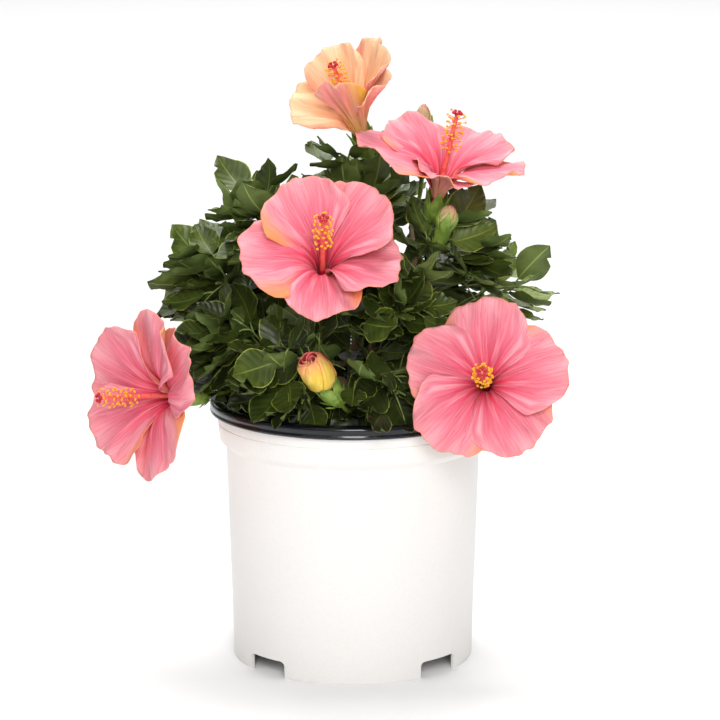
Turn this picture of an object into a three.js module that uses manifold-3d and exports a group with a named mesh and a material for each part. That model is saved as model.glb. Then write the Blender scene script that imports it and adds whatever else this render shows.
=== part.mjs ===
// Potted hibiscus shrub in bloom: a short trunk with branching boughs, leafy masses, five open
// blooms and three buds, standing in a white nursery pot with a dark liner rim.
// Millimetres, +Z up. The origin is the centre of the pot's flat underside and the front is -Y.
import * as THREE from 'three';
import { mergeGeometries, mergeVertices } from 'three/addons/utils/BufferGeometryUtils.js';
import Module from 'manifold-3d';

const wasm = await Module();
wasm.setup();

const GAP = 0.3; // clear space between neighbouring pieces
const WELD = 1e-4; // vertices closer than this are one
const CLEAN = 0.05; // slivers thinner than this are smoothed away
const GOLDEN = 137.5; // degrees from one leaf of a spiral to the next

const POT = {
  footRadius: 101, topRadius: 106.4, collarRadius: 112, lipRadius: 114,
  chamferFrom: 182, collarFrom: 187, height: 209.7, wall: 2.6, floor: 19, edge: 1.5, sides: 32,
};
const NOTCH = { count: 4, width: 39, height: 14, depth: 22, corner: 4 }; // in the pot's foot
const RIM = {
  bottom: 210, top: 220, outer: 120, inner: 109.5, bead: 1.2, skirtBottom: 189, skirt: 2.2, sides: 32,
};
const SOIL = { top: 197, crown: 34, edgeDrop: 4 };
const TRUNK = { height: 66, flare: 13, waist: 8.2, tip: 6.2, lean: [3, -5], sides: 10, segments: 6 };
const BOUGH = { thickest: 5, root: 0.72, thinnest: 2.4, tip: 1.8, sides: 5, segments: 4 };
const TWIG = { root: 1.8, tip: 1, sides: 3, segments: 2 };
const STALK = { length: 30, root: 1.7, tip: 2, sides: 5, segments: 3 };
const CALYX = { length: 22, radius: 9, sides: 8 };
const PETAL = { claw: 8, throat: 4.5, opening: 0.62, thickness: 1.5, across: 3, along: 4 };
const COLUMN = { root: 2.4, tip: 1.7, stigma: 3.6, anthers: 5, antherReach: 8.5, antherZone: 0.36 };
const LEAF = {
  petiole: 14, blade: 52, width: 0.74, widest: 0.42, thickness: 2, sunk: 0.5, curl: 0.8, fold: 0.22,
};
const CROWN_HEART = new THREE.Vector3(0, 0, 268); // leaves face away from here

// The scales and turns at which a leaf is tried, one after the other, until it fits.
const LEAF_TRIES = [1, 0.84, 0.68].flatMap(
  (scale) => [0, 28, -28, 56, -56].map((turn) => [scale, turn]),
);

// Each mass of foliage: where its stem ends, how many leaves stand on the stem and on each of
// its side twigs, the leaves' size and the seed of its draws.
const MASSES = {
  mass_front_low_left: { tip: [-60, -106, 256], leaves: [12, 7], size: 1, seed: 11 },
  mass_front_low_right: { tip: [36, -108, 246], leaves: [12, 7], size: 1, seed: 23 },
  mass_front_mid: { tip: [40, -102, 312], leaves: [12, 7], size: 1, seed: 37 },
  mass_front_high: { tip: [80, -48, 364], leaves: [12, 7], size: 1, seed: 41 },
  mass_left_low: { tip: [-112, -50, 274], leaves: [12, 7], size: 1, seed: 53 },
  mass_left_mid: { tip: [-128, -6, 330], leaves: [12, 7], size: 1, seed: 67 },
  mass_left_high: { tip: [-82, -18, 386], leaves: [12, 7], size: 1, seed: 71 },
  mass_top: { tip: [4, 4, 412], leaves: [12, 7], size: 0.9, seed: 83 },
  mass_right_mid: { tip: [138, 0, 314], leaves: [10, 5], size: 1, seed: 97 },
  mass_right_low: { tip: [112, -26, 256], leaves: [12, 7], size: 1, seed: 103 },
  mass_back_left: { tip: [-98, 82, 312], leaves: [12, 7], size: 1, seed: 113 },
  mass_back_right: { tip: [98, 82, 310], leaves: [12, 7], size: 1, seed: 127 },
  mass_back_high: { tip: [2, 74, 376], leaves: [12, 7], size: 1, seed: 139 },
  mass_back_low_left: { tip: [-62, 106, 256], leaves: [12, 7], size: 1, seed: 149 },
  mass_back_low_right: { tip: [64, 104, 254], leaves: [12, 7], size: 1, seed: 157 },
};
const STEM_FROM = new THREE.Vector3(0, 0, 258); // the stems of the masses point away from here
const STEM_BASE = 0.46; // share of the way to its tip at which a mass's stem begins
const SIDE_TWIGS = [-85, 85, 175]; // degrees round the stem from its upper side

// Each bloom: the root of its petals, the way it faces, the turn of its first petal, the length
// of petals and column, and for each petal how far it opens, its share of the length and its
// own small turn. Angles are in degrees.
const BLOOMS = {
  bloom_centre: {
    base: [-24, -92, 338], axis: [0.02, -0.7, 0.71], roll: -22, length: 80, column: 78,
    flare: [66, 64, 80, 88, 84], share: [1.04, 1.06, 0.95, 0.85, 1], turn: [0, -6, -20, -12, 4],
  },
  bloom_right: {
    base: [108, -84, 247], axis: [-0.08, -0.94, 0.33], roll: 2, length: 80, column: 84,
    flare: [85, 82, 84, 83, 82], share: [1, 1.01, 0.98, 1, 0.97], turn: [0, 1, -1, 2, 0],
  },
  bloom_left: {
    base: [-137, -38, 230], axis: [-0.84, -0.53, 0.08], roll: -15, length: 87, column: 82,
    flare: [80, 88, 80, 56, 70], share: [1.02, 0.96, 0.98, 1, 1.06], turn: [20, -8, 22, 20, 20],
  },
  bloom_top: {
    base: [8, -18, 442], axis: [-0.33, -0.42, 0.85], roll: -10, length: 78, column: 72,
    flare: [36, 40, 44, 22, 62], share: [0.98, 1.08, 0.9, 0.95, 0.85], turn: [-34, -26, -66, -54, -20],
  },
  bloom_upright: {
    base: [69, -42, 394], axis: [0.2, -0.25, 0.95], roll: 8, length: 82, column: 76,
    flare: [64, 68, 73, 70, 80], share: [0.94, 0.98, 1, 0.8, 1.14], turn: [-21, 0, -4, 0, -8],
  },
};

// Each bud: its root, its tip, its greatest radius, the radius of its end and its petals' colour.
const BUDS = {
  bud_opening: { base: [-20, -109, 252], tip: [-36, -124, 277], radius: 12.5, end: 9, colour: '#E8C25A' },
  bud_high: { base: [58, 23, 423], tip: [59, 21, 463], radius: 8, end: 2, colour: '#9AA84E' },
  bud_right: { base: [74, -64, 374], tip: [79, -66, 391], radius: 7.5, end: 2, colour: '#8FA84A' },
};

const COLOURS = {
  pot: '#F1EEEA', rim: '#14161F', soil: '#33261C', bark: '#6B5A3E', leaf: '#38531F',
  young: '#6A8A38', petal: '#F2889A', fading: '#F3AE86',
};

const vec = (values) => new THREE.Vector3(...values);
const radians = THREE.MathUtils.degToRad;
const mix = THREE.MathUtils.lerp;
const smooth = (x) => THREE.MathUtils.smoothstep(x, 0, 1);

function dice(seed) {
  let state = seed;
  return () => {
    state = (state * 16807) % 2147483647;
    return state / 2147483647;
  };
}

// A closed three.js shape as a solid: shared vertices merged, faces that closed up left out.
function solid(geometry) {
  const bare = geometry.clone();
  bare.deleteAttribute('normal');
  bare.deleteAttribute('uv');
  const merged = mergeVertices(bare, WELD);
  const index = merged.index.array;
  const triangles = [];
  for (let i = 0; i < index.length; i += 3) {
    const [a, b, c] = index.slice(i, i + 3);
    if (a !== b && b !== c && c !== a) triangles.push(a, b, c);
  }
  return new wasm.Manifold(new wasm.Mesh({
    numProp: 3,
    vertProperties: new Float32Array(merged.attributes.position.array),
    triVerts: new Uint32Array(triangles),
  }));
}

// Moves every vertex of a shape to where the rule puts it.
function shaped(geometry, rule) {
  const position = geometry.attributes.position;
  const corner = new THREE.Vector3();
  for (let i = 0; i < position.count; i += 1) {
    const place = rule(corner.fromBufferAttribute(position, i));
    position.setXYZ(i, place.x, place.y, place.z);
  }
  return geometry;
}

// A thin sheet 2 wide and 1 long. Both faces have the same triangles, so that it keeps its
// thickness however it is warped, and where a rule makes it thin to nothing they meet.
function sheet(across, along) {
  const front = new THREE.PlaneGeometry(2, 1, across, along).translate(0, 0, 1);
  const back = new THREE.PlaneGeometry(2, 1, across, along).translate(0, 0, -1);
  back.setIndex([...back.index.array].reverse());
  return mergeGeometries([front, back]);
}

function turned(profile, sides) {
  const points = profile.map(([radius, height]) => new THREE.Vector2(radius, height));
  return new THREE.LatheGeometry(points, sides).rotateX(Math.PI / 2);
}

function perpendicular(direction) {
  const reference = Math.abs(direction.z) < 0.95 ? vec([0, 0, 1]) : vec([0, -1, 0]);
  return reference.addScaledVector(direction, -reference.dot(direction)).normalize();
}

// The triangles of a solid's outer skin: of its closed shells the one with the most faces, so
// that hollows sealed by the joining are filled and loose scraps are dropped.
function outerSkin({ triVerts, vertProperties }) {
  const parent = Array.from({ length: vertProperties.length / 3 }, (_, i) => i);
  const shellOf = (i) => {
    let top = i;
    while (parent[top] !== top) top = parent[top];
    parent[i] = top;
    return top;
  };
  for (let i = 0; i < triVerts.length; i += 3) {
    parent[shellOf(triVerts[i + 1])] = shellOf(triVerts[i]);
    parent[shellOf(triVerts[i + 2])] = shellOf(triVerts[i]);
  }
  const shells = new Map();
  for (let i = 0; i < triVerts.length; i += 3) {
    const shell = shellOf(triVerts[i]);
    if (!shells.has(shell)) shells.set(shell, []);
    shells.get(shell).push(...triVerts.slice(i, i + 3));
  }
  return [...shells.values()].sort((a, b) => b.length - a.length)[0];
}

function mesh(name, piece, colour, roughness) {
  const found = piece.simplify(CLEAN).getMesh();
  const geometry = new THREE.BufferGeometry();
  geometry.setAttribute('position', new THREE.BufferAttribute(found.vertProperties, 3));
  geometry.setIndex(outerSkin(found));
  const material = new THREE.MeshStandardMaterial({ color: colour, roughness, metalness: 0 });
  const made = new THREE.Mesh(geometry, material);
  made.name = name;
  return made;
}

// Of a solid that a cut left in several pieces, the one that comes nearest to a point.
function pieceAt(cut, point) {
  const distance = (piece) => {
    const corners = piece.getMesh().vertProperties;
    let nearest = Infinity;
    for (let i = 0; i < corners.length; i += 3) {
      nearest = Math.min(nearest, point.distanceTo(vec(corners.slice(i, i + 3))));
    }
    return nearest;
  };
  return cut.simplify(CLEAN).decompose().sort((a, b) => distance(a) - distance(b))[0];
}

// A tapering limb along a curve, with its radius given at its root and at its tip.
class Limb {
  constructor(points, root, tip, { sides, segments }) {
    this.curve = new THREE.CubicBezierCurve3(...points);
    this.root = root;
    this.tip = tip;
    this.sides = sides;
    this.segments = segments;
    this.side = perpendicular(points[3].clone().sub(points[0]).normalize());
  }

  point(t) {
    return this.curve.getPoint(t);
  }

  tangent(t) {
    return this.curve.getTangent(t);
  }

  radius(t) {
    return mix(this.root, this.tip, t);
  }

  // The limb's solid, or with a margin the space that other pieces keep out of.
  solid(margin = 0) {
    const tube = new THREE.CylinderGeometry(1, 1, 1, this.sides, this.segments);
    return solid(shaped(tube, ({ x, y, z }) => {
      const t = y + 0.5;
      const along = this.tangent(t);
      const across = this.side.clone().addScaledVector(along, -this.side.dot(along)).normalize();
      const end = margin * (t === 1) - margin * (t === 0);
      return this.point(t)
        .addScaledVector(across, x * (this.radius(t) + margin))
        .addScaledVector(across.clone().cross(along), z * (this.radius(t) + margin))
        .addScaledVector(along, end);
    }));
  }
}

// The white pot, open at the top, with rounded notches cut into the edge of its foot.
function makePot() {
  const {
    footRadius, topRadius, collarRadius, lipRadius, chamferFrom, collarFrom, height, wall, floor, edge,
  } = POT;
  const outside = [
    [0, 0], [footRadius - edge, 0], [footRadius, edge], [topRadius, chamferFrom],
    [collarRadius, collarFrom], [lipRadius, height],
  ];
  const inside = [
    [lipRadius - wall, height], [collarRadius - wall, collarFrom], [topRadius - wall, chamferFrom],
    [footRadius - wall, floor], [0, floor],
  ];
  const { width, height: notchHeight, depth, corner } = NOTCH;
  const notch = new THREE.Shape();
  notch.moveTo(-width / 2, -1);
  notch.lineTo(width / 2, -1);
  notch.absarc(width / 2 - corner, notchHeight - corner, corner, 0, Math.PI / 2);
  notch.absarc(corner - width / 2, notchHeight - corner, corner, Math.PI / 2, Math.PI);
  const block = { depth: 2 * depth, bevelEnabled: false, curveSegments: 3 };
  let pot = solid(turned([...outside, ...inside], POT.sides));
  for (let i = 0; i < NOTCH.count; i += 1) {
    const cutter = new THREE.ExtrudeGeometry(notch, block)
      .translate(0, 0, footRadius - depth)
      .rotateX(Math.PI / 2)
      .rotateZ(((i + 0.5) / NOTCH.count) * 2 * Math.PI);
    pot = pot.subtract(solid(cutter));
  }
  return pot;
}

// The dark liner's rolled lip with two beads, and the skirt that hangs inside the white pot.
function makeRim() {
  const { bottom, top, outer, inner, bead, skirtBottom, skirt } = RIM;
  const middle = (bottom + top) / 2;
  return solid(turned([
    [inner, bottom], [outer - bead, bottom], [outer, bottom + bead], [outer - bead / 2, middle],
    [outer, top - bead], [outer - bead, top], [inner - 1, top],
    [inner - 2 * skirt, skirtBottom], [inner - skirt, skirtBottom], [inner, bottom],
  ], RIM.sides));
}

function makeSoil() {
  const step = RIM.skirtBottom - 2 * GAP;
  const lower = POT.footRadius + (POT.topRadius - POT.footRadius) * (step / POT.chamferFrom);
  const ring = RIM.inner - 2 * RIM.skirt - GAP;
  const foot = POT.footRadius - POT.wall - 2 * GAP;
  return solid(turned([
    [0, POT.floor + GAP], [foot, POT.floor + GAP], [Math.min(lower - POT.wall - GAP, ring), step],
    [ring, SOIL.top - SOIL.edgeDrop], [SOIL.crown * 2, SOIL.top - 1],
    [SOIL.crown, SOIL.top], [0, SOIL.top],
  ], POT.sides));
}

function makeTrunk() {
  const foot = vec([0, 0, SOIL.top + GAP]);
  const top = foot.clone().add(vec([...TRUNK.lean, TRUNK.height]));
  const points = [
    foot, foot.clone().add(vec([0, 0, TRUNK.height / 3])),
    top.clone().sub(vec([0, 0, TRUNK.height / 3])), top,
  ];
  const trunk = new Limb(points, TRUNK.flare, TRUNK.tip, TRUNK);
  trunk.radius = (t) => {
    const straight = mix(TRUNK.waist, TRUNK.tip, t);
    return straight + (TRUNK.flare - TRUNK.waist) * Math.max(0, 1 - t / 0.35) ** 2;
  };
  return trunk;
}

// A bough to a target: it forks from the grown limb that offers the shortest smooth way up.
function growBough(limbs, target, arrival) {
  let best = { cost: Infinity };
  for (const limb of limbs) {
    for (let step = 6; step <= 19; step += 1) {
      const fork = limb.point(step / 20);
      const way = target.clone().sub(fork);
      const length = way.length();
      const bend = 1 - way.clone().normalize().dot(limb.tangent(step / 20));
      const cost = length * (1 + 0.5 * bend) + 0.2 * fork.distanceTo(limbs[0].point(0));
      const climbs = way.z > -0.1 * length;
      if (climbs && length > 12 && cost < best.cost) {
        best = { cost, limb, t: step / 20, fork, length };
      }
    }
  }
  const { limb, t, fork, length } = best;
  const leave = fork.clone().addScaledVector(limb.tangent(t), length * 0.3);
  const arrive = target.clone().addScaledVector(arrival, -length * 0.35);
  const root = THREE.MathUtils.clamp(limb.radius(t) * BOUGH.root, BOUGH.thinnest, BOUGH.thickest);
  return new Limb([fork, leave, arrive, target], root, BOUGH.tip, BOUGH);
}

// Height, radius and slope of a petal's middle line at a share of its length from the root.
function petalLine(length, flare, share) {
  const steps = 12;
  const slope = (s) => radians(PETAL.claw + (flare - PETAL.claw) * smooth(s / PETAL.opening));
  let radius = PETAL.throat;
  let height = 0;
  for (let i = 0; i < steps; i += 1) {
    const angle = slope(((i + 0.5) / steps) * share);
    radius += (length * share * Math.sin(angle)) / steps;
    height += (length * share * Math.cos(angle)) / steps;
  }
  return { radius, height, angle: slope(share) };
}

// The point of petal k at u across (-1 to 1) and v along (0 to 1), moved along its face by lift.
function petalPoint(bloom, k, u, v, lift) {
  const axis = vec(bloom.axis).normalize();
  const up = perpendicular(axis);
  const right = up.clone().cross(axis);
  const length = bloom.length * bloom.share[k];
  const share = v * (1 - 0.06 * u * u - 0.2 * u ** 4);
  const { radius, height, angle } = petalLine(length, bloom.flare[k], share);
  const halfWidth = length * (0.1 + 0.86 * share - 0.38 * share * share);
  const spread = Math.min(0.64 + 1.4 * share, 0.86, halfWidth / radius);
  const phi = radians(bloom.roll + 72 * k + bloom.turn[k]) + u * spread;
  const outward = up.multiplyScalar(Math.cos(phi)).addScaledVector(right, Math.sin(phi));
  const face = axis.clone().multiplyScalar(Math.sin(angle)).addScaledVector(outward, -Math.cos(angle));
  const overlap = 1.8 * u * smooth(share / 0.4);
  const wave = 3 * share * share * Math.sin(3 * phi);
  return vec(bloom.base)
    .addScaledVector(axis, height)
    .addScaledVector(outward, radius)
    .addScaledVector(face, overlap + wave + lift);
}

// A petal, thin to nothing all round its border.
function makePetal(bloom, k) {
  return solid(shaped(sheet(PETAL.across, PETAL.along), ({ x, y, z }) => {
    const v = y + 0.5;
    const inside = Math.abs(x) < 1 && v > 0 && v < 1;
    return petalPoint(bloom, k, x, v, inside ? (z * PETAL.thickness) / 2 : 0);
  }));
}

// The space over a petal's face that leaves keep out of, a little wider than the petal.
function petalSpace(bloom, k) {
  const axis = vec(bloom.axis).normalize();
  const slab = new THREE.BoxGeometry(2, 1, 2, 3, 3, 1);
  return solid(shaped(slab, ({ x, y, z }) => {
    const place = petalPoint(bloom, k, x * 1.06, (y + 0.5) * 1.04, -2.5);
    return z > 0 ? place.addScaledVector(axis, 45) : place;
  }));
}

function placed(geometry, base, axis) {
  const turn = new THREE.Quaternion().setFromUnitVectors(vec([0, 0, 1]), axis);
  return geometry.applyQuaternion(turn).translate(base.x, base.y, base.z);
}

function makeCalyx(base, axis, radius) {
  const { length } = CALYX;
  return solid(placed(turned([
    [0, -length], [radius * 0.45, 1 - length], [radius * 0.95, -length * 0.6], [radius, -length * 0.25],
    [radius * 0.9, 2], [0, 2],
  ], CALYX.sides), base, axis));
}

// The column of a bloom with its stigma and the stamens that stand round its upper part.
function makeColumn(bloom) {
  const base = vec(bloom.base);
  const axis = vec(bloom.axis).normalize();
  const across = perpendicular(axis);
  const end = base.clone().addScaledVector(axis, bloom.column);
  const rod = new THREE.CylinderGeometry(COLUMN.tip, COLUMN.root, bloom.column + 4, 6)
    .rotateX(Math.PI / 2)
    .translate(0, 0, bloom.column / 2 - 2);
  const pieces = [
    solid(placed(rod, base, axis)),
    solid(placed(new THREE.OctahedronGeometry(COLUMN.stigma), end, axis)),
  ];
  for (let i = 0; i < COLUMN.anthers; i += 1) {
    const t = 1 - COLUMN.antherZone * ((i + 0.5) / COLUMN.anthers) - 0.04;
    const way = across.clone().applyAxisAngle(axis, radians(GOLDEN * i));
    way.addScaledVector(axis, 0.35).normalize();
    const reach = COLUMN.antherReach;
    const anther = new THREE.OctahedronGeometry(1)
      .scale(1.1, 1.1, reach / 2 + 1)
      .translate(0, 0, reach / 2);
    pieces.push(solid(placed(anther, base.clone().addScaledVector(axis, bloom.column * t), way)));
  }
  return pieces;
}

// The green stalk from a bough's tip to the foot of a calyx, and the point where it starts.
function flowerStalk(base, axis) {
  const foot = base.clone().addScaledVector(axis, 1 - CALYX.length);
  const inward = CROWN_HEART.clone().sub(foot).normalize();
  const start = foot.clone()
    .addScaledVector(axis, -STALK.length * 0.55)
    .addScaledVector(inward, STALK.length * 0.45);
  const points = [
    start, start.clone().addScaledVector(inward, -STALK.length / 3),
    foot.clone().addScaledVector(axis, -STALK.length / 3), foot.clone().addScaledVector(axis, 1),
  ];
  return new Limb(points, STALK.root, STALK.tip, STALK);
}

function makeBud({ base, tip, radius, end }) {
  const from = vec(base);
  const axis = vec(tip).sub(from);
  const length = axis.length();
  axis.normalize();
  const body = solid(placed(turned([
    [0, -2], [radius * 0.5, -1], [radius * 0.95, length * 0.25], [radius, length * 0.5],
    [(radius + end) / 2, length * 0.85], [end * 0.8, length], [0, length - end * 0.35],
  ], CALYX.sides), from, axis));
  return { axis, body };
}

function massBase(name) {
  return STEM_FROM.clone().lerp(vec(MASSES[name].tip), STEM_BASE);
}

// The plane test that keeps a mass in its own space, halfway to each neighbour.
function inOwnSpace(point, name) {
  const heart = massHeart(name);
  return Object.keys(MASSES).every((other) => {
    if (other === name) return true;
    const away = massHeart(other).sub(heart);
    const halfway = away.length() / 2;
    return point.clone().sub(heart).dot(away.normalize()) < halfway - GAP;
  });
}

function massHeart(name) {
  return massBase(name).lerp(vec(MASSES[name].tip), 0.7);
}

function staysIn(piece, name) {
  const corners = piece.getMesh().vertProperties;
  for (let i = 0; i < corners.length; i += 3) {
    if (!inOwnSpace(vec(corners.slice(i, i + 3)), name)) return false;
  }
  return true;
}

// A leaf's frame: petiole and blade directions and the way its face looks. The blade faces
// away from the crown's heart and hangs a little, the more so the lower it stands on its twig.
function leafFrame(twig, t, azimuth, tilt) {
  const root = twig.point(t);
  const along = twig.tangent(t);
  const side = perpendicular(along).applyAxisAngle(along, radians(azimuth));
  const opening = radians(mix(68, 30, t) + tilt);
  const petiole = side.multiplyScalar(Math.sin(opening)).addScaledVector(along, Math.cos(opening));
  const outward = root.clone().sub(CROWN_HEART).normalize();
  const facing = outward.multiplyScalar(0.8).add(vec([0, 0, 0.55])).normalize();
  const flatten = mix(0.85, 0.45, t) * petiole.dot(facing);
  const blade = petiole.clone().addScaledVector(facing, -flatten).add(vec([0, 0, -0.2])).normalize();
  const face = facing.addScaledVector(blade, -facing.dot(blade)).normalize();
  return { root, petiole, blade, face };
}

// A leaf of eight faces: from its root inside the twig it widens to the middle of the blade,
// folded along its midrib, and curls down to its tip.
function makeLeaf({ root, petiole, blade, face }, petioleLength, bladeLength) {
  const across = blade.clone().cross(face);
  const neck = root.clone().addScaledVector(petiole, petioleLength);
  const bladePoint = (s) => neck.clone()
    .addScaledVector(blade, (bladeLength * Math.sin(LEAF.curl * s)) / LEAF.curl)
    .addScaledVector(face, (bladeLength * (Math.cos(LEAF.curl * s) - 1)) / LEAF.curl);
  const stations = [
    { centre: root.clone().addScaledVector(petiole, -LEAF.sunk), open: 0 },
    { centre: bladePoint(LEAF.widest), open: 1 },
    { centre: bladePoint(1), open: 0 },
  ];
  const half = (LEAF.width * bladeLength) / 2;
  const strip = new THREE.CylinderGeometry(1, 1, 1, 4, stations.length - 1);
  return solid(shaped(strip, ({ x, y, z }) => {
    const { centre, open } = stations[Math.round((y + 0.5) * (stations.length - 1))];
    return centre.clone()
      .addScaledVector(across, x * half * open)
      .addScaledVector(face, (z * LEAF.thickness * 0.5 + LEAF.fold * half * Math.abs(x)) * open);
  }));
}

// The leaves of one twig in a spiral. A leaf that would leave the mass's space or touch
// anything is tried smaller and a little turned, and is then left out.
function twigLeaves(name, twig, count, draw, obstacles, leaves) {
  const phase = draw() * 360;
  for (let i = 0; i < count; i += 1) {
    const t = mix(0.22, 1, (i + 1) / count);
    const azimuth = phase + GOLDEN * i + (draw() - 0.5) * 24;
    const tilt = (draw() - 0.5) * 20;
    const size = MASSES[name].size * (0.88 + 0.24 * draw());
    const petiole = LEAF.petiole * mix(1.1, 0.7, t) * size;
    const blade = LEAF.blade * mix(1.08, 0.78, t) * size;
    for (const [scale, turn] of LEAF_TRIES) {
      const leaf = makeLeaf(leafFrame(twig, t, azimuth + turn, tilt), petiole, blade * scale);
      const free = [obstacles, ...leaves].every((other) => leaf.intersect(other).isEmpty());
      if (free && staysIn(leaf, name)) {
        leaves.push(leaf);
        break;
      }
    }
  }
}

function makeTwig(start, end, lift) {
  const length = start.distanceTo(end);
  const bow = vec([0, 0, lift * length]);
  const first = start.clone().lerp(end, 0.33).add(bow);
  const second = start.clone().lerp(end, 0.67).add(bow);
  return new Limb([start, first, second, end], TWIG.root, TWIG.tip, TWIG);
}

// A mass of foliage: its stem, its side twigs by the seeded rule, and all their leaves.
function makeMass(name, bough, obstacles) {
  const { tip, leaves, seed } = MASSES[name];
  const draw = dice(seed);
  const start = bough.point(1).addScaledVector(bough.tangent(1), GAP);
  const stem = makeTwig(start, vec(tip), 0.04);
  const wood = [stem.solid()];
  const grown = [];
  twigLeaves(name, stem, leaves[0], draw, obstacles, grown);
  for (const turn of SIDE_TWIGS) {
    const t = mix(0.2, 0.5, draw());
    const along = stem.tangent(t);
    const swing = radians(turn + 50 * (draw() - 0.5));
    const across = perpendicular(along).applyAxisAngle(along, swing);
    const reach = start.distanceTo(vec(tip)) * mix(0.55, 0.75, draw());
    const end = stem.point(t);
    end.addScaledVector(along, reach * 0.6).addScaledVector(across, reach * 0.8);
    const twig = makeTwig(stem.point(t), end, 0.06);
    const rod = twig.solid();
    if (staysIn(rod, name) && rod.intersect(obstacles).isEmpty()) {
      wood.push(rod);
      twigLeaves(name, twig, leaves[1], draw, obstacles, grown);
    }
  }
  return pieceAt(wasm.Manifold.union([...wood, ...grown]).subtract(obstacles), vec(tip));
}

const group = new THREE.Group();
const pot = makePot();
const rim = makeRim();
const soil = makeSoil();
group.add(mesh('pot', pot, COLOURS.pot, 0.45));
group.add(mesh('pot_rim', rim, COLOURS.rim, 0.3));
group.add(mesh('soil', soil, COLOURS.soil, 0.95));

// The limbs, nearest targets first, so that the far boughs fork from the near ones.
const trunk = makeTrunk();
const limbs = [trunk];
group.add(mesh('trunk', trunk.solid(), COLOURS.bark, 0.85));
const targets = [];
for (const [name, { tip }] of Object.entries(MASSES)) {
  const place = massBase(name);
  targets.push({ name, place, arrival: vec(tip).sub(place).normalize() });
}
const stalks = {};
for (const [name, { base, axis }] of Object.entries(BLOOMS)) {
  stalks[name] = flowerStalk(vec(base), vec(axis).normalize());
}
for (const [name, bud] of Object.entries(BUDS)) {
  stalks[name] = flowerStalk(vec(bud.base), vec(bud.tip).sub(vec(bud.base)).normalize());
}
for (const [name, stalk] of Object.entries(stalks)) {
  const arrival = stalk.tangent(0);
  targets.push({ name, place: stalk.point(0).addScaledVector(arrival, -GAP), arrival });
}
const fork = trunk.point(1);
targets.sort((a, b) => a.place.distanceTo(fork) - b.place.distanceTo(fork));
const boughs = {};
let taken = trunk.solid(GAP * 1.2);
for (const { name, place, arrival } of targets) {
  const bough = growBough(limbs, place, arrival);
  const fitted = pieceAt(bough.solid().subtract(taken), bough.point(1));
  group.add(mesh(`bough_to_${name}`, fitted, COLOURS.bark, 0.85));
  limbs.push(bough);
  boughs[name] = bough;
  taken = taken.add(bough.solid(GAP * 1.2));
}
const wood = taken;

// The blooms and buds, each fused to its stalk.
for (const [name, bloom] of Object.entries(BLOOMS)) {
  const axis = vec(bloom.axis).normalize();
  const petals = bloom.flare.map((flare, k) => makePetal(bloom, k));
  const spaces = bloom.flare.map((flare, k) => petalSpace(bloom, k));
  const calyx = makeCalyx(vec(bloom.base), axis, CALYX.radius);
  const whole = wasm.Manifold.union([...petals, ...makeColumn(bloom), calyx, stalks[name].solid()]);
  const fitted = pieceAt(whole.subtract(wood), vec(bloom.base));
  group.add(mesh(name, fitted, name === 'bloom_top' ? COLOURS.fading : COLOURS.petal, 0.6));
  taken = wasm.Manifold.union([
    taken, ...spaces, makeCalyx(vec(bloom.base), axis, CALYX.radius + 1.5), stalks[name].solid(1),
  ]);
}
for (const [name, bud] of Object.entries(BUDS)) {
  const { axis, body } = makeBud(bud);
  const wide = makeBud({ ...bud, radius: bud.radius + 1.5, end: bud.end + 1.5 });
  const calyx = makeCalyx(vec(bud.base), axis, bud.radius * 0.8);
  const whole = wasm.Manifold.union([body, calyx, stalks[name].solid()]);
  group.add(mesh(name, pieceAt(whole.subtract(wood), vec(bud.tip)), bud.colour, 0.6));
  taken = wasm.Manifold.union([
    taken, wide.body, makeCalyx(vec(bud.base), axis, bud.radius * 0.8 + 1.5), stalks[name].solid(1),
  ]);
}

// The pot and its soil as one space that no leaf may enter.
taken = taken.add(solid(turned([
  [0, 0], [RIM.outer + 1, 0], [RIM.outer + 1, RIM.top + 1], [RIM.inner - 2, RIM.top + 1],
  [RIM.inner - 2, SOIL.top + 1], [0, SOIL.top + 1],
], POT.sides)));

for (const name of Object.keys(MASSES)) {
  const colour = name === 'mass_right_mid' ? COLOURS.young : COLOURS.leaf;
  group.add(mesh(name, makeMass(name, boughs[name], taken), colour, 0.4));
}

export default group;
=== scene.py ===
"""A potted hibiscus shrub in bloom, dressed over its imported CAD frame.

Lengths in the growing rules are millimetres, as in the part's source; meshes are metres.
"""
import math

import bmesh
import bpy
import numpy as np
from mathutils import Matrix, Vector
from mathutils.kdtree import KDTree


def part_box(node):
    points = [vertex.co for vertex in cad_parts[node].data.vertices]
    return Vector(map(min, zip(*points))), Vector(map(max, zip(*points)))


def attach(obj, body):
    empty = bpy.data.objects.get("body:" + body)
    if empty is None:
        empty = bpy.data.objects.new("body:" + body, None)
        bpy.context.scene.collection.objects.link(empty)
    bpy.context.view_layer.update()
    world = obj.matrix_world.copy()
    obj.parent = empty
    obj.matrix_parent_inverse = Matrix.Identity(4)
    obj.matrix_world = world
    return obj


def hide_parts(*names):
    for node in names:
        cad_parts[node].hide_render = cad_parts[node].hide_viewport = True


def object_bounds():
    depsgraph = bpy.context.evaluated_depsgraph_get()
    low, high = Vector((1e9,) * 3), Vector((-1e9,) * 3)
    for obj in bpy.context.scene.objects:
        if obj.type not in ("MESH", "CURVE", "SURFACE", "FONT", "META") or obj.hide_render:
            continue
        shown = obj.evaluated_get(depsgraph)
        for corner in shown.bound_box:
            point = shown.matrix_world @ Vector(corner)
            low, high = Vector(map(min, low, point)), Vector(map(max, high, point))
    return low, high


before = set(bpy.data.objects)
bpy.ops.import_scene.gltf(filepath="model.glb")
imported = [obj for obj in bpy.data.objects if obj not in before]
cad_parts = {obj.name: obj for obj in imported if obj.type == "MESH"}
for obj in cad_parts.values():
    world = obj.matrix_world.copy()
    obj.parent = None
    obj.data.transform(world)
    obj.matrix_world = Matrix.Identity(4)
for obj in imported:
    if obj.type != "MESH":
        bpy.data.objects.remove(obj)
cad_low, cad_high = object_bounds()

MM = 0.001
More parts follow.
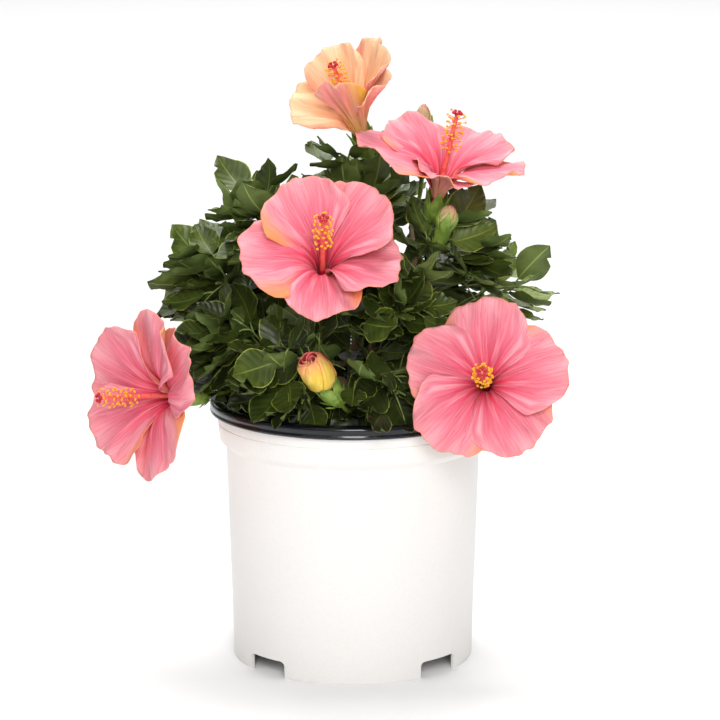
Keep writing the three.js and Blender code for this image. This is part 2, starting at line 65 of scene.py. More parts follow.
UP = np.array([0.0, 0.0, 1.0])
GAP = 0.3  # clear space between a bough's tip and the stem that goes on from it
GOLDEN = 137.5  # degrees from one leaf of a spiral to the next
PETALS = 5
FIFTH = 72  # degrees from one petal or sepal to the next

POT = {
    "foot": 101, "top": 106.4, "collar": 112, "lip": 114, "chamfer_from": 182,
    "collar_from": 187, "height": 209.7, "wall": 2.6, "floor": 19, "raised": 16, "sides": 128,
}
NOTCH = {"count": 4, "width": 39, "height": 14, "depth": 22, "corner": 4}
LIP_PROFILE = [  # radius and height: the lip's underside, its two ridges, its top, the skirt
    (109.5, 209.9), (118.6, 209.9), (119.5, 210.4), (119.9, 211.3), (119.7, 212.4), (119.2, 213.0),
    (119.2, 214.6), (119.8, 215.4), (120.0, 216.8), (119.8, 218.4), (119.2, 219.4), (118.0, 220.0),
    (110.4, 220.0), (109.0, 219.6), (108.4, 218.6), (107.8, 205), (105.3, 189.2), (107.4, 189.2),
    (109.5, 209.9),
]
SOIL_TOP = 197
SOIL_FOOT = 19.6
SOIL_PROFILE = [
    (98.2, SOIL_FOOT), (104.2, 188.4), (104.9, 193), (86, 195.4), (68, 196), (50, 196.6),
    (34, 197), (16, 197), (1, SOIL_TOP),
]
CRUMBS = {"count": 700, "within": 101, "smallest": 0.8, "greatest": 2.6, "perlite_every": 9}
TRUNK = {"height": 66, "flare": 13, "waist": 8.2, "tip": 6.2, "lean": (3, -5, 66)}
BOUGH = {"thickest": 5, "root": 0.72, "thinnest": 2.4, "tip": 1.8, "shortest": 12}
TWIG = {"root": 1.8, "tip": 1.0}
STALK = {"length": 30, "root": 1.7, "tip": 2.0}
CALYX = {
    "length": 22, "radius": 9, "lobes_from": 0.6, "bracts": 8, "across": 8, "along": 20,
    "thickness": 0.5,
    "heights": (-22, -20.5, -15, -9, -4, 0, 4, 9), "radii": (1.6, 4, 7.4, 8.8, 9.2, 9.3, 9.8, 11),
}
PETAL = {
    "claw": 8, "throat": 4.5, "opening": 0.62, "across": 34, "along": 30, "thickness": 0.5,
    "tuck": 2.2,
}
COLUMN = {
    "root": 2.4, "tip": 1.6, "steps": 16, "anthers": 58, "anther_zone": 0.42, "reach": 8.5,
    "pads": 5, "throat": ((-1.5, 5.4), (1.5, 4.6), (5, 3.2), (11, 2.5)),
}
LEAF = {
    "petiole": 14, "blade": 52, "curl": 0.8, "rows": 12, "columns": 4, "half_width": 0.36,
    "outline": (0.05, 0.38, 0.66, 0.85, 0.96, 1.0, 0.98, 0.92, 0.82, 0.69, 0.52, 0.3, 0.001),
    "back": 0.014,
}
FINE = {  # the finer twigs that only the dressed plant has, and their small leaves
    "twigs": 6, "root": 0.8, "tip": 0.5, "shortest": 14, "longest": 32, "leaves": 4,
    "petiole": 8, "blade": 45, "turns": (0, 40, -40, 80, -80), "apart": 12.5,
}
SHADE = {"from": 225, "range": 200}  # leaves are painted lighter the higher they stand: painted shade under the crown, painted light at its top
FITS = (1, 0.86, 0.72, 0.58)  # sizes tried for a leaf that would not fit in its place
REACH = 5  # how far past the solids' box a leaf's waved margin may come
CLEAR = {  # room round a bloom: degrees beside a petal's middle, mm before it and round its edge
    "beside": 50, "before": 40, "twig": 2, "leaf": 2.5, "small_leaf": 4,
}
POT_ROOM = {"top": 222, "outside": 122, "inside": 106}  # round the pot's wall and lip, left free
CROWN_HEART = np.array([0.0, 0.0, 268.0])  # leaves face away from here
STEM_FROM = np.array([0.0, 0.0, 258.0])  # the stems of the masses point away from here
STEM_BASE = 0.46  # share of the way to its tip at which a mass's stem begins
SIDE_TWIGS = (-85, 85, 175)  # degrees round the stem from its upper side
LEAF_TRIES = [(scale, turn) for scale in (1, 0.84, 0.68) for turn in (0, 28, -28, 56, -56)]
SEEDS = {"crumbs": 401, "leaf_forms": 601, "stamens": 811, "tints": 977}
STEPS = {"trunk": 60, "bough": 40, "twig": 16, "fine_twig": 6, "stalk": 16, "petiole": 4}
LEAF_FORMS = 5  # master leaves, each waved and folded in its own way
CAMERA = {"place": (0.006, -2.42, 0.7395), "down": 11.4, "lens": 147.5}
AMBIENT = 0.26
LIGHTS = {  # place, size and power of each soft light, and where it aims
    "key": ((0.2, -2.6, 1.5), 1.2, 56, (0, 0, 0.28)),
    "fill": ((-1.3, -1.6, 1.9), 1.2, 4, (0, 0, 0.28)),
    "top": ((0, 0.4, 2.4), 1.4, 46, (0, 0, 0.28)),
    "backdrop": ((0, 5.5, 3.2), 8, 260, (0, 5.5, 0)),
}

# Each mass of foliage: where its stem ends, its leaves on the stem and on a side twig, the
# leaves' size and the seed of its draws.
MASSES = {
    "mass_front_low_left": ((-60, -106, 256), (12, 7), 1, 11),
    "mass_front_low_right": ((36, -108, 246), (12, 7), 1, 23),
    "mass_front_mid": ((40, -102, 312), (12, 7), 1, 37),
    "mass_front_high": ((80, -48, 364), (12, 7), 1, 41),
    "mass_left_low": ((-112, -50, 274), (12, 7), 1, 53),
    "mass_left_mid": ((-128, -6, 330), (12, 7), 1, 67),
    "mass_left_high": ((-82, -18, 386), (12, 7), 1, 71),
    "mass_top": ((4, 4, 412), (12, 7), 0.9, 83),
    "mass_right_mid": ((138, 0, 314), (10, 5), 1, 97),
    "mass_right_low": ((112, -26, 256), (12, 7), 1, 103),
    "mass_back_left": ((-98, 82, 312), (12, 7), 1, 113),
    "mass_back_right": ((98, 82, 310), (12, 7), 1, 127),
    "mass_back_high": ((2, 74, 376), (12, 7), 1, 139),
    "mass_back_low_left": ((-62, 106, 256), (12, 7), 1, 149),
    "mass_back_low_right": ((64, 104, 254), (12, 7), 1, 157),
}
TIPS = {name: np.array(tip, float) for name, (tip, *_) in MASSES.items()}
YOUNG = "mass_right_mid"  # the young shoots, of lighter leaves

# Each bloom: the root of its petals, the way it faces, the turn of its first petal, the length
# of petals and column, and for each petal how far it opens, its share of the length and its
# own small turn. Angles are in degrees. Some petals of bloom_upright are turned up to 3 degrees
# further than in its solid, which closes a gap between them.
BLOOMS = {
    "bloom_centre": {
        "base": (-24, -92, 338), "axis": (0.02, -0.7, 0.71), "roll": -22,
        "length": 80, "column": 78, "flare": (66, 64, 80, 88, 84),
        "share": (1.04, 1.06, 0.95, 0.85, 1), "turn": (0, -6, -20, -12, 4),
    },
    "bloom_right": {
        "base": (108, -84, 247), "axis": (-0.08, -0.94, 0.33), "roll": 2,
        "length": 80, "column": 84, "flare": (85, 82, 84, 83, 82),
        "share": (1, 1.01, 0.98, 1, 0.97), "turn": (0, 1, -1, 2, 0),
    },
    "bloom_left": {
        "base": (-137, -38, 230), "axis": (-0.84, -0.53, 0.08), "roll": -15,
        "length": 87, "column": 82, "flare": (80, 88, 80, 56, 70),
        "share": (1.02, 0.96, 0.98, 1, 1.06), "turn": (20, -8, 22, 20, 20),
    },
    "bloom_top": {
        "base": (8, -18, 442), "axis": (-0.33, -0.42, 0.85), "roll": -10,
        "length": 78, "column": 72, "flare": (36, 40, 44, 22, 62),
        "share": (0.98, 1.08, 0.9, 0.95, 0.85), "turn": (-34, -26, -66, -54, -20),
    },
    "bloom_upright": {
        "base": (69, -42, 394), "axis": (0.2, -0.25, 0.95), "roll": 8,
        "length": 82, "column": 76, "flare": (64, 68, 73, 67, 80),
        "share": (0.94, 0.98, 1, 0.8, 1.14), "turn": (-21, 1, -1.5, -3, -8),
    },
}
FADING = "bloom_top"  # the bloom that has faded to peach

# Each bud: its root, its tip and its greatest radius.
BUDS = {
    "bud_opening": ((-20, -109, 252), (-36, -124, 277), 12.5),
    "bud_high": ((58, 23, 423), (59, 21, 463), 8),
    "bud_right": ((74, -64, 374), (79, -66, 391), 7.5),
}
BUD_END = {"bud_opening": 9}  # radius of the mouth of the bud that has begun to open
BUD_PETAL = {"across": 14, "along": 20, "thickness": 0.4}


# Growing rules, as in the part's source

def unit(v):
    return v / np.linalg.norm(v)


def mix(a, b, t):
    return a + (b - a) * t


def smooth(x):
    x = np.clip(x, 0, 1)
    return x * x * (3 - 2 * x)


def dice(seed):
    """Draws between 0 and 1 from a seed, the same draws as in the part's source."""
    state = seed
    while True:
        state = state * 16807 % 2147483647
        yield state / 2147483647


def perpendicular(direction):
    reference = UP if abs(direction[2]) < 0.95 else np.array([0.0, -1.0, 0.0])
    return unit(reference - direction * reference.dot(direction))


def swung(v, axis, degrees):
    """v turned about an axis by the right-hand rule."""
    c, s = math.cos(math.radians(degrees)), math.sin(math.radians(degrees))
    return v * c + np.cross(axis, v) * s + axis * axis.dot(v) * (1 - c)


def ways_out(axis, phi):
    """The ways straight out from an axis, at angles round it."""
    up = perpendicular(axis)
    return np.cos(phi)[:, None] * up + np.sin(phi)[:, None] * np.cross(up, axis)


for bloom in BLOOMS.values():
    bloom["base"] = np.array(bloom["base"], float)
    bloom["axis"] = unit(np.array(bloom["axis"], float))
for name, (base, tip, radius) in BUDS.items():
    BUDS[name] = (np.array(base, float), np.array(tip, float), radius)


class Limb:
    """A tapering limb along a cubic curve."""

    def __init__(self, points, root, tip):
        self.points = [np.array(p, float) for p in points]
        self.root = root
        self.tip = tip

    def point(self, t):
        a, b, c, d = self.points
        s = 1 - t
        return a * s**3 + b * 3 * s * s * t + c * 3 * s * t * t + d * t**3

    def tangent(self, t):
        return unit(self.point(min(t + 1e-4, 1)) - self.point(max(t - 1e-4, 0)))

    def radius(self, t):
        return mix(self.root, self.tip, t)


class Trunk(Limb):
    """The trunk, whose foot spreads into the root flare."""

    def radius(self, t):
        spread = (TRUNK["flare"] - TRUNK["waist"]) * max(0, 1 - t / 0.35) ** 2
        return mix(TRUNK["waist"], TRUNK["tip"], t) + spread


def grow_trunk():
    foot = np.array([0, 0, SOIL_TOP + GAP])
    top = foot + TRUNK["lean"]
    third = np.array([0, 0, TRUNK["height"] / 3])
    return Trunk([foot, foot + third, top - third, top], TRUNK["flare"], TRUNK["tip"])


def grow_bough(limbs, target, arrival):
    """A bough to a target, from the grown limb that offers the shortest smooth way up."""
    best = None
    for limb in limbs:
        for step in range(6, 20):
            fork = limb.point(step / 20)
            way = target - fork
            length = np.linalg.norm(way)
            bend = 1 - unit(way).dot(limb.tangent(step / 20))
            cost = length * (1 + 0.5 * bend) + 0.2 * np.linalg.norm(fork - limbs[0].point(0))
            open_way = way[2] > -0.1 * length and length > BOUGH["shortest"]
            if open_way and (best is None or cost < best[0]):
                best = (cost, limb, step / 20, fork, length)
    _, limb, t, fork, length = best
    leave = fork + limb.tangent(t) * length * 0.3
    arrive = target - arrival * length * 0.35
    root = min(max(limb.radius(t) * BOUGH["root"], BOUGH["thinnest"]), BOUGH["thickest"])
    return Limb([fork, leave, arrive, target], root, BOUGH["tip"])


def flower_stalk(base, axis):
    """A stalk that comes from the crown's heart and turns to the way its flower faces."""
    foot = base + axis * (1 - CALYX["length"])
    inward = unit(CROWN_HEART - foot)
    length = STALK["length"]
    start = foot - axis * length * 0.55 + inward * length * 0.45
    points = [start, start - inward * length / 3, foot - axis * length / 3, foot + axis]
    return Limb(points, STALK["root"], STALK["tip"])


BASES = {name: mix(STEM_FROM, tip, STEM_BASE) for name, tip in TIPS.items()}
HEARTS = {name: mix(BASES[name], tip, 0.7) for name, tip in TIPS.items()}


def in_own_space(point, name, spare=0.0):
    """Whether a point is on a mass's own side of the plane halfway to each neighbour."""
    heart = HEARTS[name]
    for other, place in HEARTS.items():
        if other != name:
            away = place - heart
            distance = np.linalg.norm(away)
            if (point - heart).dot(away) / distance > distance / 2 + spare:
                return False
    return True


def leaf_frame(twig, t, azimuth, tilt):
    """A leaf's root, the ways its petiole and blade go and the way its face looks."""
    root = twig.point(t)
    along = twig.tangent(t)
    side = swung(perpendicular(along), along, azimuth)
    opening = math.radians(mix(68, 30, t) + tilt)
    petiole = side * math.sin(opening) + along * math.cos(opening)
    facing = unit(unit(root - CROWN_HEART) * 0.8 + UP * 0.55)
    flatten = mix(0.85, 0.45, t) * petiole.dot(facing)
    blade = unit(petiole - facing * flatten - UP * 0.2)
    face = unit(facing - blade * facing.dot(blade))
    return root, petiole, blade, face


def leaf_end(neck, blade, face, length):
    curl = LEAF["curl"]
    along = neck + blade * length * math.sin(curl) / curl
    return along + face * length * (math.cos(curl) - 1) / curl


def make_twig(start, end, lift):
    bow = UP * (lift * np.linalg.norm(end - start))
    points = [start, mix(start, end, 0.33) + bow, mix(start, end, 0.67) + bow, end]
    return Limb(points, TWIG["root"], TWIG["tip"])


def petal_line(length, flare, share):
    """Height, radius and slope of a petal's middle line at shares of its length."""
    radius = np.full_like(share, PETAL["throat"])
    height = np.zeros_like(share)

    def slope(s):
        opened = smooth(s / PETAL["opening"])
        return np.radians(PETAL["claw"] + (flare - PETAL["claw"]) * opened)

    for i in range(12):
        angle = slope((i + 0.5) / 12 * share)
        radius += length * share * np.sin(angle) / 12
        height += length * share * np.cos(angle) / 12
    return radius, height, slope(share)


def petal_lift(u, v, share, phi, phase):
    """How far a petal's points stand off its plain form: the turned sides, the pleats, the side
    that only the dressed plant tucks well under its neighbour, and the frill."""
    tucked = smooth((-u - 0.2) / 0.6) * smooth(share / 0.4)
    lift = 1.8 * u * smooth(share / 0.4) + 3 * share**2 * np.sin(3 * phi)
    lift += 1.3 * smooth(share / 0.5) * np.sin(7.5 * u + phase[2] + 1.5 * v)
    lift += 0.8 * smooth(share / 0.6) * np.sin(15 * u + phase[3] - 2 * v)
    lift -= PETAL["tuck"] * tucked
    frill = smooth((np.maximum(v, abs(u)) - 0.72) / 0.28) * smooth(v / 0.5) * (1 - 0.6 * tucked)
    waves = 2.2 * np.sin(9 * u + 5 * v + phase[4]) + 1.1 * np.sin(23 * u + 17 * v + phase[5])
    return lift + frill * waves


def petal_points(bloom, k, u, v):
    """Points of petal k at u across (-1 to 1) and v along (0 to 1). Only the dressed plant has
    the fine notches of the margin and claws that overlap."""
    axis = bloom["axis"]
    length = bloom["length"] * bloom["share"][k]
    draw = dice(7 + 31 * k + int(bloom["length"] * 100 + bloom["column"]))
    phase = [next(draw) * 2 * math.pi for _ in range(6)]
    scallop = 0.018 * np.sin(5.2 * u + phase[0]) + 0.012 * np.sin(11 * u + phase[1])
    notches = 0.007 * np.sin(23 * u + phase[2]) + 0.005 * np.sin(31 * u + phase[3])
    share = v * (1 - 0.06 * u**2 - 0.2 * u**4 + (scallop + notches) * v**3)
    radius, height, angle = petal_line(length, bloom["flare"][k], share)
    half_width = length * (0.1 + 0.86 * share - 0.38 * share**2)
    spread = np.minimum(np.minimum(0.76 + 1.1 * share, 0.98), half_width / radius)
    phi = math.radians(bloom["roll"] + FIFTH * k + bloom["turn"][k]) + u * spread
    outward = ways_out(axis, phi)
    face = np.sin(angle)[:, None] * axis - np.cos(angle)[:, None] * outward
    points = bloom["base"] + height[:, None] * axis + radius[:, None] * outward
    return points + petal_lift(u, v, share, phi, phase)[:, None] * face


def bud_radius(bud, height):
    """Radius of a bud's body at a height over its root."""
    base, tip, radius = BUDS[bud]
    end = BUD_END.get(bud, 2)
    radii = [radius * 0.4, radius * 0.5, radius * 0.95, radius, (radius + end) / 2, end * 0.8]
    return np.interp(height / math.dist(base, tip), [-0.05, 0, 0.25, 0.5, 0.85, 1], radii)


def bud_points(bud, k, u, v):
    """Points of a bud's rolled petal k: its one side lies outside its neighbour, and the other
    side runs in to the middle of the bud's mouth."""
    base, tip, _ = BUDS[bud]
    length = np.linalg.norm(tip - base)
    axis = (tip - base) / length
    height = length * v * (1 - 0.05 * u**2 + 0.02 * np.sin(6 * u + 2 * k) * v)
    inward = smooth(-u * 1.1) * smooth((v - 0.5) / 0.5)
    radius = (bud_radius(bud, height) + 0.9 * u) * (1 - 0.9 * inward)
    outward = ways_out(axis, np.radians(FIFTH * k - 70 * v + 82 * u - 40 * inward))
    return base + height[:, None] * axis + radius[:, None] * outward


def sepal_points(base, axis, heights, radii, k, u, v):
    """Points of sepal k: joined to the next up to its lobe, which narrows to a point."""
    steps = np.linspace(0, 1, len(heights))
    height = np.interp(v, steps, heights)
    radius = np.interp(v, steps, radii) + 0.5 * (1 - abs(u)) ** 2
    lobe = np.clip((v - CALYX["lobes_from"]) / (1 - CALYX["lobes_from"]), 0, 1)
    outward = ways_out(axis, np.radians(FIFTH * k + 37.5 * u * (1 - lobe**1.3)))
    return base + height[:, None] * axis + radius[:, None] * outward


PETAL_LINES = {}
for name, bloom in BLOOMS.items():
    for k in range(PETALS):
        length = bloom["length"] * bloom["share"][k]
        PETAL_LINES[name, k] = petal_line(length, bloom["flare"][k], np.linspace(0, 1.04, 16))


def in_flower(points, spare):
    """Whether any point lies in a bud, or in or in front of a bloom's petals."""
    for name, bloom in BLOOMS.items():
        axis = bloom["axis"]
        up = perpendicular(axis)
        away = points - bloom["base"]
        height = away @ axis
        flat = away - np.outer(height, axis)
        radius = np.linalg.norm(flat, axis=1)
        turn = np.degrees(np.arctan2(flat @ np.cross(up, axis), flat @ up))
        for k in range(PETALS):
            line_radius, line_height, _ = PETAL_LINES[name, k]
            off_middle = turn - bloom["roll"] - FIFTH * k - bloom["turn"][k]
            beside = abs((off_middle + 180) % 360 - 180) < CLEAR["beside"]
            over = height - np.interp(radius, line_radius, line_height)
            within = beside & (radius < line_radius.max() + spare)
            if np.any(within & (over > -spare) & (over < CLEAR["before"])):
                return True
    for base, tip, radius in BUDS.values():
        way = tip - base
        share = np.clip((points - base) @ way / way.dot(way), -0.5, 1)
        off_line = np.linalg.norm(points - base - np.outer(share, way), axis=1)
        if np.any(off_line < radius + spare * 0.5):
            return True
    return False


def in_reach(points):
    """Whether all points lie within the reach of the part's solids."""
    low = np.array(cad_low) / MM - REACH
    high = np.array(cad_high) / MM + REACH
    return bool(np.all(points > low) and np.all(points < high))


def in_pot(point):
    radius = math.hypot(point[0], point[1])
    low = point[2] < POT_ROOM["top"] and radius < POT_ROOM["outside"]
    return low and (radius > POT_ROOM["inside"] or point[2] < SOIL_TOP + 2)


# Modelling helpers

def deselect():
    bpy.ops.object.select_all(action="DESELECT")


def choose(*objects):
    deselect()
    for item in objects:
        item.select_set(True)
    bpy.context.view_layer.objects.active = objects[0]


def edit(piece):
    """Opens a piece in edit mode, with everything in it selected."""
    bpy.context.view_layer.objects.active = piece
    bpy.ops.object.mode_set(mode="EDIT")
    bpy.ops.mesh.select_all(action="SELECT")


def end_edit():
    bpy.ops.object.mode_set(mode="OBJECT")


def pick(where, kind="verts"):
    """In edit mode, selects the vertices or edges whose middle satisfies a rule."""
    mesh = bpy.context.active_object.data
    model = bmesh.from_edit_mesh(mesh)
    bpy.ops.mesh.select_mode(type={"verts": "VERT", "edges": "EDGE"}[kind])
    bpy.ops.mesh.select_all(action="DESELECT")
    for item in getattr(model, kind):
        corners = [item] if kind == "verts" else item.verts
        item.select = bool(where(sum((v.co for v in corners), Vector()) / len(corners)))
    model.select_flush_mode()
    bmesh.update_edit_mesh(mesh)


def close_ring(where):
    """In edit mode, closes an open ring of vertices with a face."""
    pick(where)
    bpy.ops.mesh.edge_face_add()


def face_outward():
    """In edit mode, turns all faces outward."""
    bpy.ops.mesh.select_all(action="SELECT")
    bpy.ops.mesh.normals_make_consistent(inside=False)


def near_axis(height):
    """A rule for close_ring: the small ring round the axis at a height."""
    return lambda co: math.hypot(co.x, co.y) < 2 * MM and abs(co.z - height * MM) < 0.1 * MM


def shade_smooth(piece):
    for face in piece.data.polygons:
        face.use_smooth = True


def join(name, parts):
    choose(*parts)
    if len(parts) > 1:
        bpy.ops.object.join()
    piece = bpy.context.active_object
    piece.name = piece.data.name = name
    deselect()
    return piece


def lathe(name, rings, sides):
    """A circle drawn up ring by ring: each is extruded from the last and scaled to size."""
    deselect()
    radius, height = rings[0]
    bpy.ops.mesh.primitive_circle_add(vertices=sides, radius=radius * MM, location=(0, 0, 0))
    piece = bpy.context.active_object
    piece.name = piece.data.name = name
    edit(piece)
    bpy.ops.transform.translate(value=(0, 0, height * MM))
    for wider, higher in rings[1:]:
        bpy.ops.mesh.extrude_region_move(
            TRANSFORM_OT_translate={"value": (0, 0, (higher - height) * MM)}
        )
        bpy.ops.transform.resize(
            value=(wider / radius, wider / radius, 1), center_override=(0, 0, higher * MM)
        )
        radius, height = wider, higher
    bpy.ops.mesh.select_all(action="SELECT")
    bpy.ops.mesh.remove_doubles(threshold=0.02 * MM)
    face_outward()
    end_edit()
    return piece


def smooth_by_angle(piece, degrees):
    choose(piece)
    bpy.ops.object.shade_smooth_by_angle(angle=math.radians(degrees))
    deselect()


def apply_all(piece):
    choose(piece)
    for modifier in list(piece.modifiers):
        bpy.ops.object.modifier_apply(modifier=modifier.name)
    deselect()


def tubes(name, lines, sides):
    """Round tubes along lines of (point, radius), drawn as one bevelled curve and then meshed."""
    deselect()
    bpy.ops.curve.primitive_bezier_curve_add(location=(0, 0, 0))
    piece = bpy.context.active_object
    piece.name = piece.data.name = name
    curve = piece.data
    curve.splines.clear()
    for line in lines:
        spline = curve.splines.new("POLY")
        spline.points.add(len(line) - 1)
        for knot, (place, radius) in zip(spline.points, line):
            knot.co = (*(place * MM), 1)
            knot.radius = radius * MM
        spline.use_smooth = True
    curve.bevel_depth = 1
    curve.bevel_resolution = sides
    curve.use_fill_caps = True
    choose(piece)
    bpy.ops.object.convert(target="MESH")
    piece = bpy.context.active_object
    piece.data.name = name
    deselect()
    return piece


def limb_line(limb, steps, swell=0.0):
    """Points and radii along a limb, with a small swelling at every fourth step, as at a node."""
    line = []
    for i in range(steps + 1):
        t = i / steps
        line.append((limb.point(t), limb.radius(t) * (1 + swell * (i % 4 == 2))))
    return line


def stand_on(master, place, along, face, size, top=None):
    """A copy of a master, its length along one way and its face looking another."""
    across = np.cross(along, face)
    columns = [Vector(across * size * MM), Vector(along * size * MM), Vector(face * size * MM)]
    matrix = Matrix([(*row, p * MM) for row, p in zip(Matrix(columns).transposed(), place)])
    matrix = Matrix([*matrix, (0, 0, 0, 1)])
    copy = master.copy()
    copy.data = master.data.copy()
    copy.data.transform(matrix)
    if top:
        copy.data.materials[0] = top
    bpy.context.collection.objects.link(copy)
    return copy


def dress(piece, slot, nodes=(), *materials):
    """Gives a piece its materials and the body it rides on. Its slot is not used."""
    for material in materials:
        piece.data.materials.append(material)
    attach(piece, "root")
    if nodes:
        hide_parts(*nodes)


# Materials: the small functions add a node each and return its output

def colour(code):
    """A hex sRGB colour as linear values."""
    values = [int(code[i:i + 2], 16) / 255 for i in (1, 3, 5)]
    return (*[v / 12.92 if v <= 0.04045 else ((v + 0.055) / 1.055) ** 2.4 for v in values], 1)


def add(tree, kind, inputs=None, **settings):
    """Adds a node with its settings; an input is a value or another node's output."""
    node = tree.nodes.new("ShaderNode" + kind)
    for name, value in settings.items():
        setattr(node, name, value)
    for name, value in (inputs or {}).items():
        if isinstance(value, bpy.types.NodeSocket):
            tree.links.new(value, node.inputs[name])
        else:
            node.inputs[name].default_value = value
    return node


def place_in(tree):
    return add(tree, "TexCoord").outputs["Object"]


def across_and_along(tree):
    """The two ways over a leaf or petal, each from 0 to 1."""
    parts = add(tree, "SeparateXYZ", {"Vector": add(tree, "TexCoord").outputs["UV"]})
    return parts.outputs["X"], parts.outputs["Y"]


def stretch(tree, place, scale):
    return add(tree, "Mapping", {"Vector": place, "Scale": scale}).outputs["Vector"]


def noise(tree, place, scale, detail, distortion=0.0):
    inputs = {"Vector": place, "Scale": scale, "Detail": detail, "Distortion": distortion}
    return add(tree, "TexNoise", inputs).outputs["Fac"]


def reckon(tree, operation, *values):
    return add(tree, "Math", dict(enumerate(values)), operation=operation).outputs["Value"]


def grade(tree, value, start, end, low=0.0, high=1.0, curve="LINEAR"):
    """A value graded from low at the start to high at the end."""
    inputs = {"Value": value, "From Min": start, "From Max": end, "To Min": low, "To Max": high}
    return add(tree, "MapRange", inputs, interpolation_type=curve).outputs["Result"]


def ramp(tree, value, stops):
    """Colours dealt out by a value, from stops of a position and a hex colour."""
    node = add(tree, "ValToRGB", {"Fac": value})
    elements = node.color_ramp.elements
    while len(elements) < len(stops):
        elements.new(0.5)
    for element, (position, code) in zip(elements, stops):
        element.position = position
        element.color = colour(code)
    return node.outputs["Color"]


def cover(tree, mask, below, code):
    """A plain colour laid over another colour where a mask says so."""
    inputs = {"Fac": mask, "Color1": below, "Color2": colour(code)}
    return add(tree, "MixRGB", inputs).outputs["Color"]


def off_half(tree, value):
    """How far a value is from a half, as a spot on a leaf is from the midrib."""
    return reckon(tree, "ABSOLUTE", reckon(tree, "SUBTRACT", value, 0.5))


def new_material(name, base, roughness, **sockets):
    """A material with its Principled shader, whose plain values are set on its own sockets."""
    material = bpy.data.materials.new(name)
    material.use_nodes = True
    shader = material.node_tree.nodes["Principled BSDF"]
    shader.inputs["Base Color"].default_value = colour(base)
    shader.inputs["Roughness"].default_value = roughness
    for socket, value in sockets.items():
        shader.inputs[socket.replace("_", " ")].default_value = value
    material.diffuse_color = colour(base)
    return material, material.node_tree, shader


def paint(tree, shader, output):
    tree.links.new(output, shader.inputs["Base Color"])


def bump(tree, shader, height, distance, strength=1.0):
    relief = add(tree, "Bump", {"Height": height, "Distance": distance, "Strength": strength})
    tree.links.new(relief.outputs["Normal"], shader.inputs["Normal"])


def moulded_white():
    # White polypropylene, injection moulded: satin, with a very faint grain of about 2 mm.
    material, tree, shader = new_material("white_polypropylene", "#E6E3E0", 0.38, IOR=1.49)
    mottle = noise(tree, place_in(tree), 420, 2)
    paint(tree, shader, ramp(tree, mottle, [(0.3, "#E5E2DF"), (0.7, "#E8E5E2")]))
    bump(tree, shader, mottle, 0.00002)
    return material


def moulded_black():
    # Blue-black polypropylene, thermoformed: glossy, with a soft waviness of about 9 mm.
    material, tree, shader = new_material("blue_black_polypropylene", "#0C0E16", 0.2, IOR=1.49)
    bump(tree, shader, noise(tree, place_in(tree), 110, 1), 0.0002)
    return material


def potting_mix():
    # Peat and bark fines, loose: crumbs of 1 to 4 mm, brown to nearly black, quite matt.
    material, tree, shader = new_material("peat_and_bark", "#2C2018", 0.95)
    place = place_in(tree)
    crumbs = add(tree, "TexVoronoi", {"Vector": place, "Scale": 320}).outputs["Distance"]
    stops = [(0.35, "#17100B"), (0.55, "#33251A"), (0.75, "#5B4630")]
    paint(tree, shader, ramp(tree, noise(tree, place, 140, 5), stops))
    bump(tree, shader, crumbs, 0.002)
    return material


def bark(name, dark, light):
    # Young hibiscus bark, grown: thin and matt, with fine cracks along the limb.
    material, tree, shader = new_material(name, dark, 0.8)
    place = place_in(tree)
    grain = noise(tree, stretch(tree, place, (1, 1, 0.25)), 700, 6)
    mixed = reckon(tree, "MULTIPLY", grain, noise(tree, place, 90, 3))
    paint(tree, shader, ramp(tree, mixed, [(0.12, dark), (0.4, light)]))
    bump(tree, shader, grain, 0.0006)
    return material


def leaf_face(name, dark, light, vein, margin):
    # A hibiscus leaf's upper side, waxy: a soft gloss, slightly quilted between faint side veins
    # about 7 mm apart, with a thin yellow-green margin.
    material, tree, shader = new_material(name, dark, 0.38, Specular_IOR_Level=0.45)
    across, along = across_and_along(tree)
    off_rib = off_half(tree, across)
    slant = reckon(tree, "MULTIPLY", off_rib, -3.6)
    between = reckon(tree, "PINGPONG", reckon(tree, "MULTIPLY_ADD", along, 6.5, slant), 0.5)
    side_vein = grade(tree, between, 0.0, 0.09, 1.0, 0.0)
    rib = grade(tree, off_rib, 0.006, 0.024, 1.0, 0.0)
    veins = reckon(tree, "MAXIMUM", reckon(tree, "MULTIPLY", side_vein, 0.28), rib)
    blade = ramp(tree, noise(tree, place_in(tree), 55, 3), [(0.35, dark), (0.68, light)])
    veined = cover(tree, veins, blade, vein)
    paint(tree, shader, cover(tree, grade(tree, off_rib, 0.468, 0.488), veined, margin))
    bump(tree, shader, reckon(tree, "MULTIPLY", between, off_rib), 0.004, 0.6)
    return material


def leaf_back():
    # The underside of the leaves: paler, greyer and without gloss, with a pale raised midrib.
    name = "hibiscus_leaf_underside"
    material, tree, shader = new_material(name, "#54642E", 0.6, Specular_IOR_Level=0.3)
    across, _ = across_and_along(tree)
    rib = grade(tree, off_half(tree, across), 0.012, 0.03, 1.0, 0.0)
    blade = ramp(tree, noise(tree, place_in(tree), 60, 3), [(0.35, "#4A5926"), (0.7, "#64763A")])
    paint(tree, shader, cover(tree, rib, blade, "#8C9A55"))
    return material


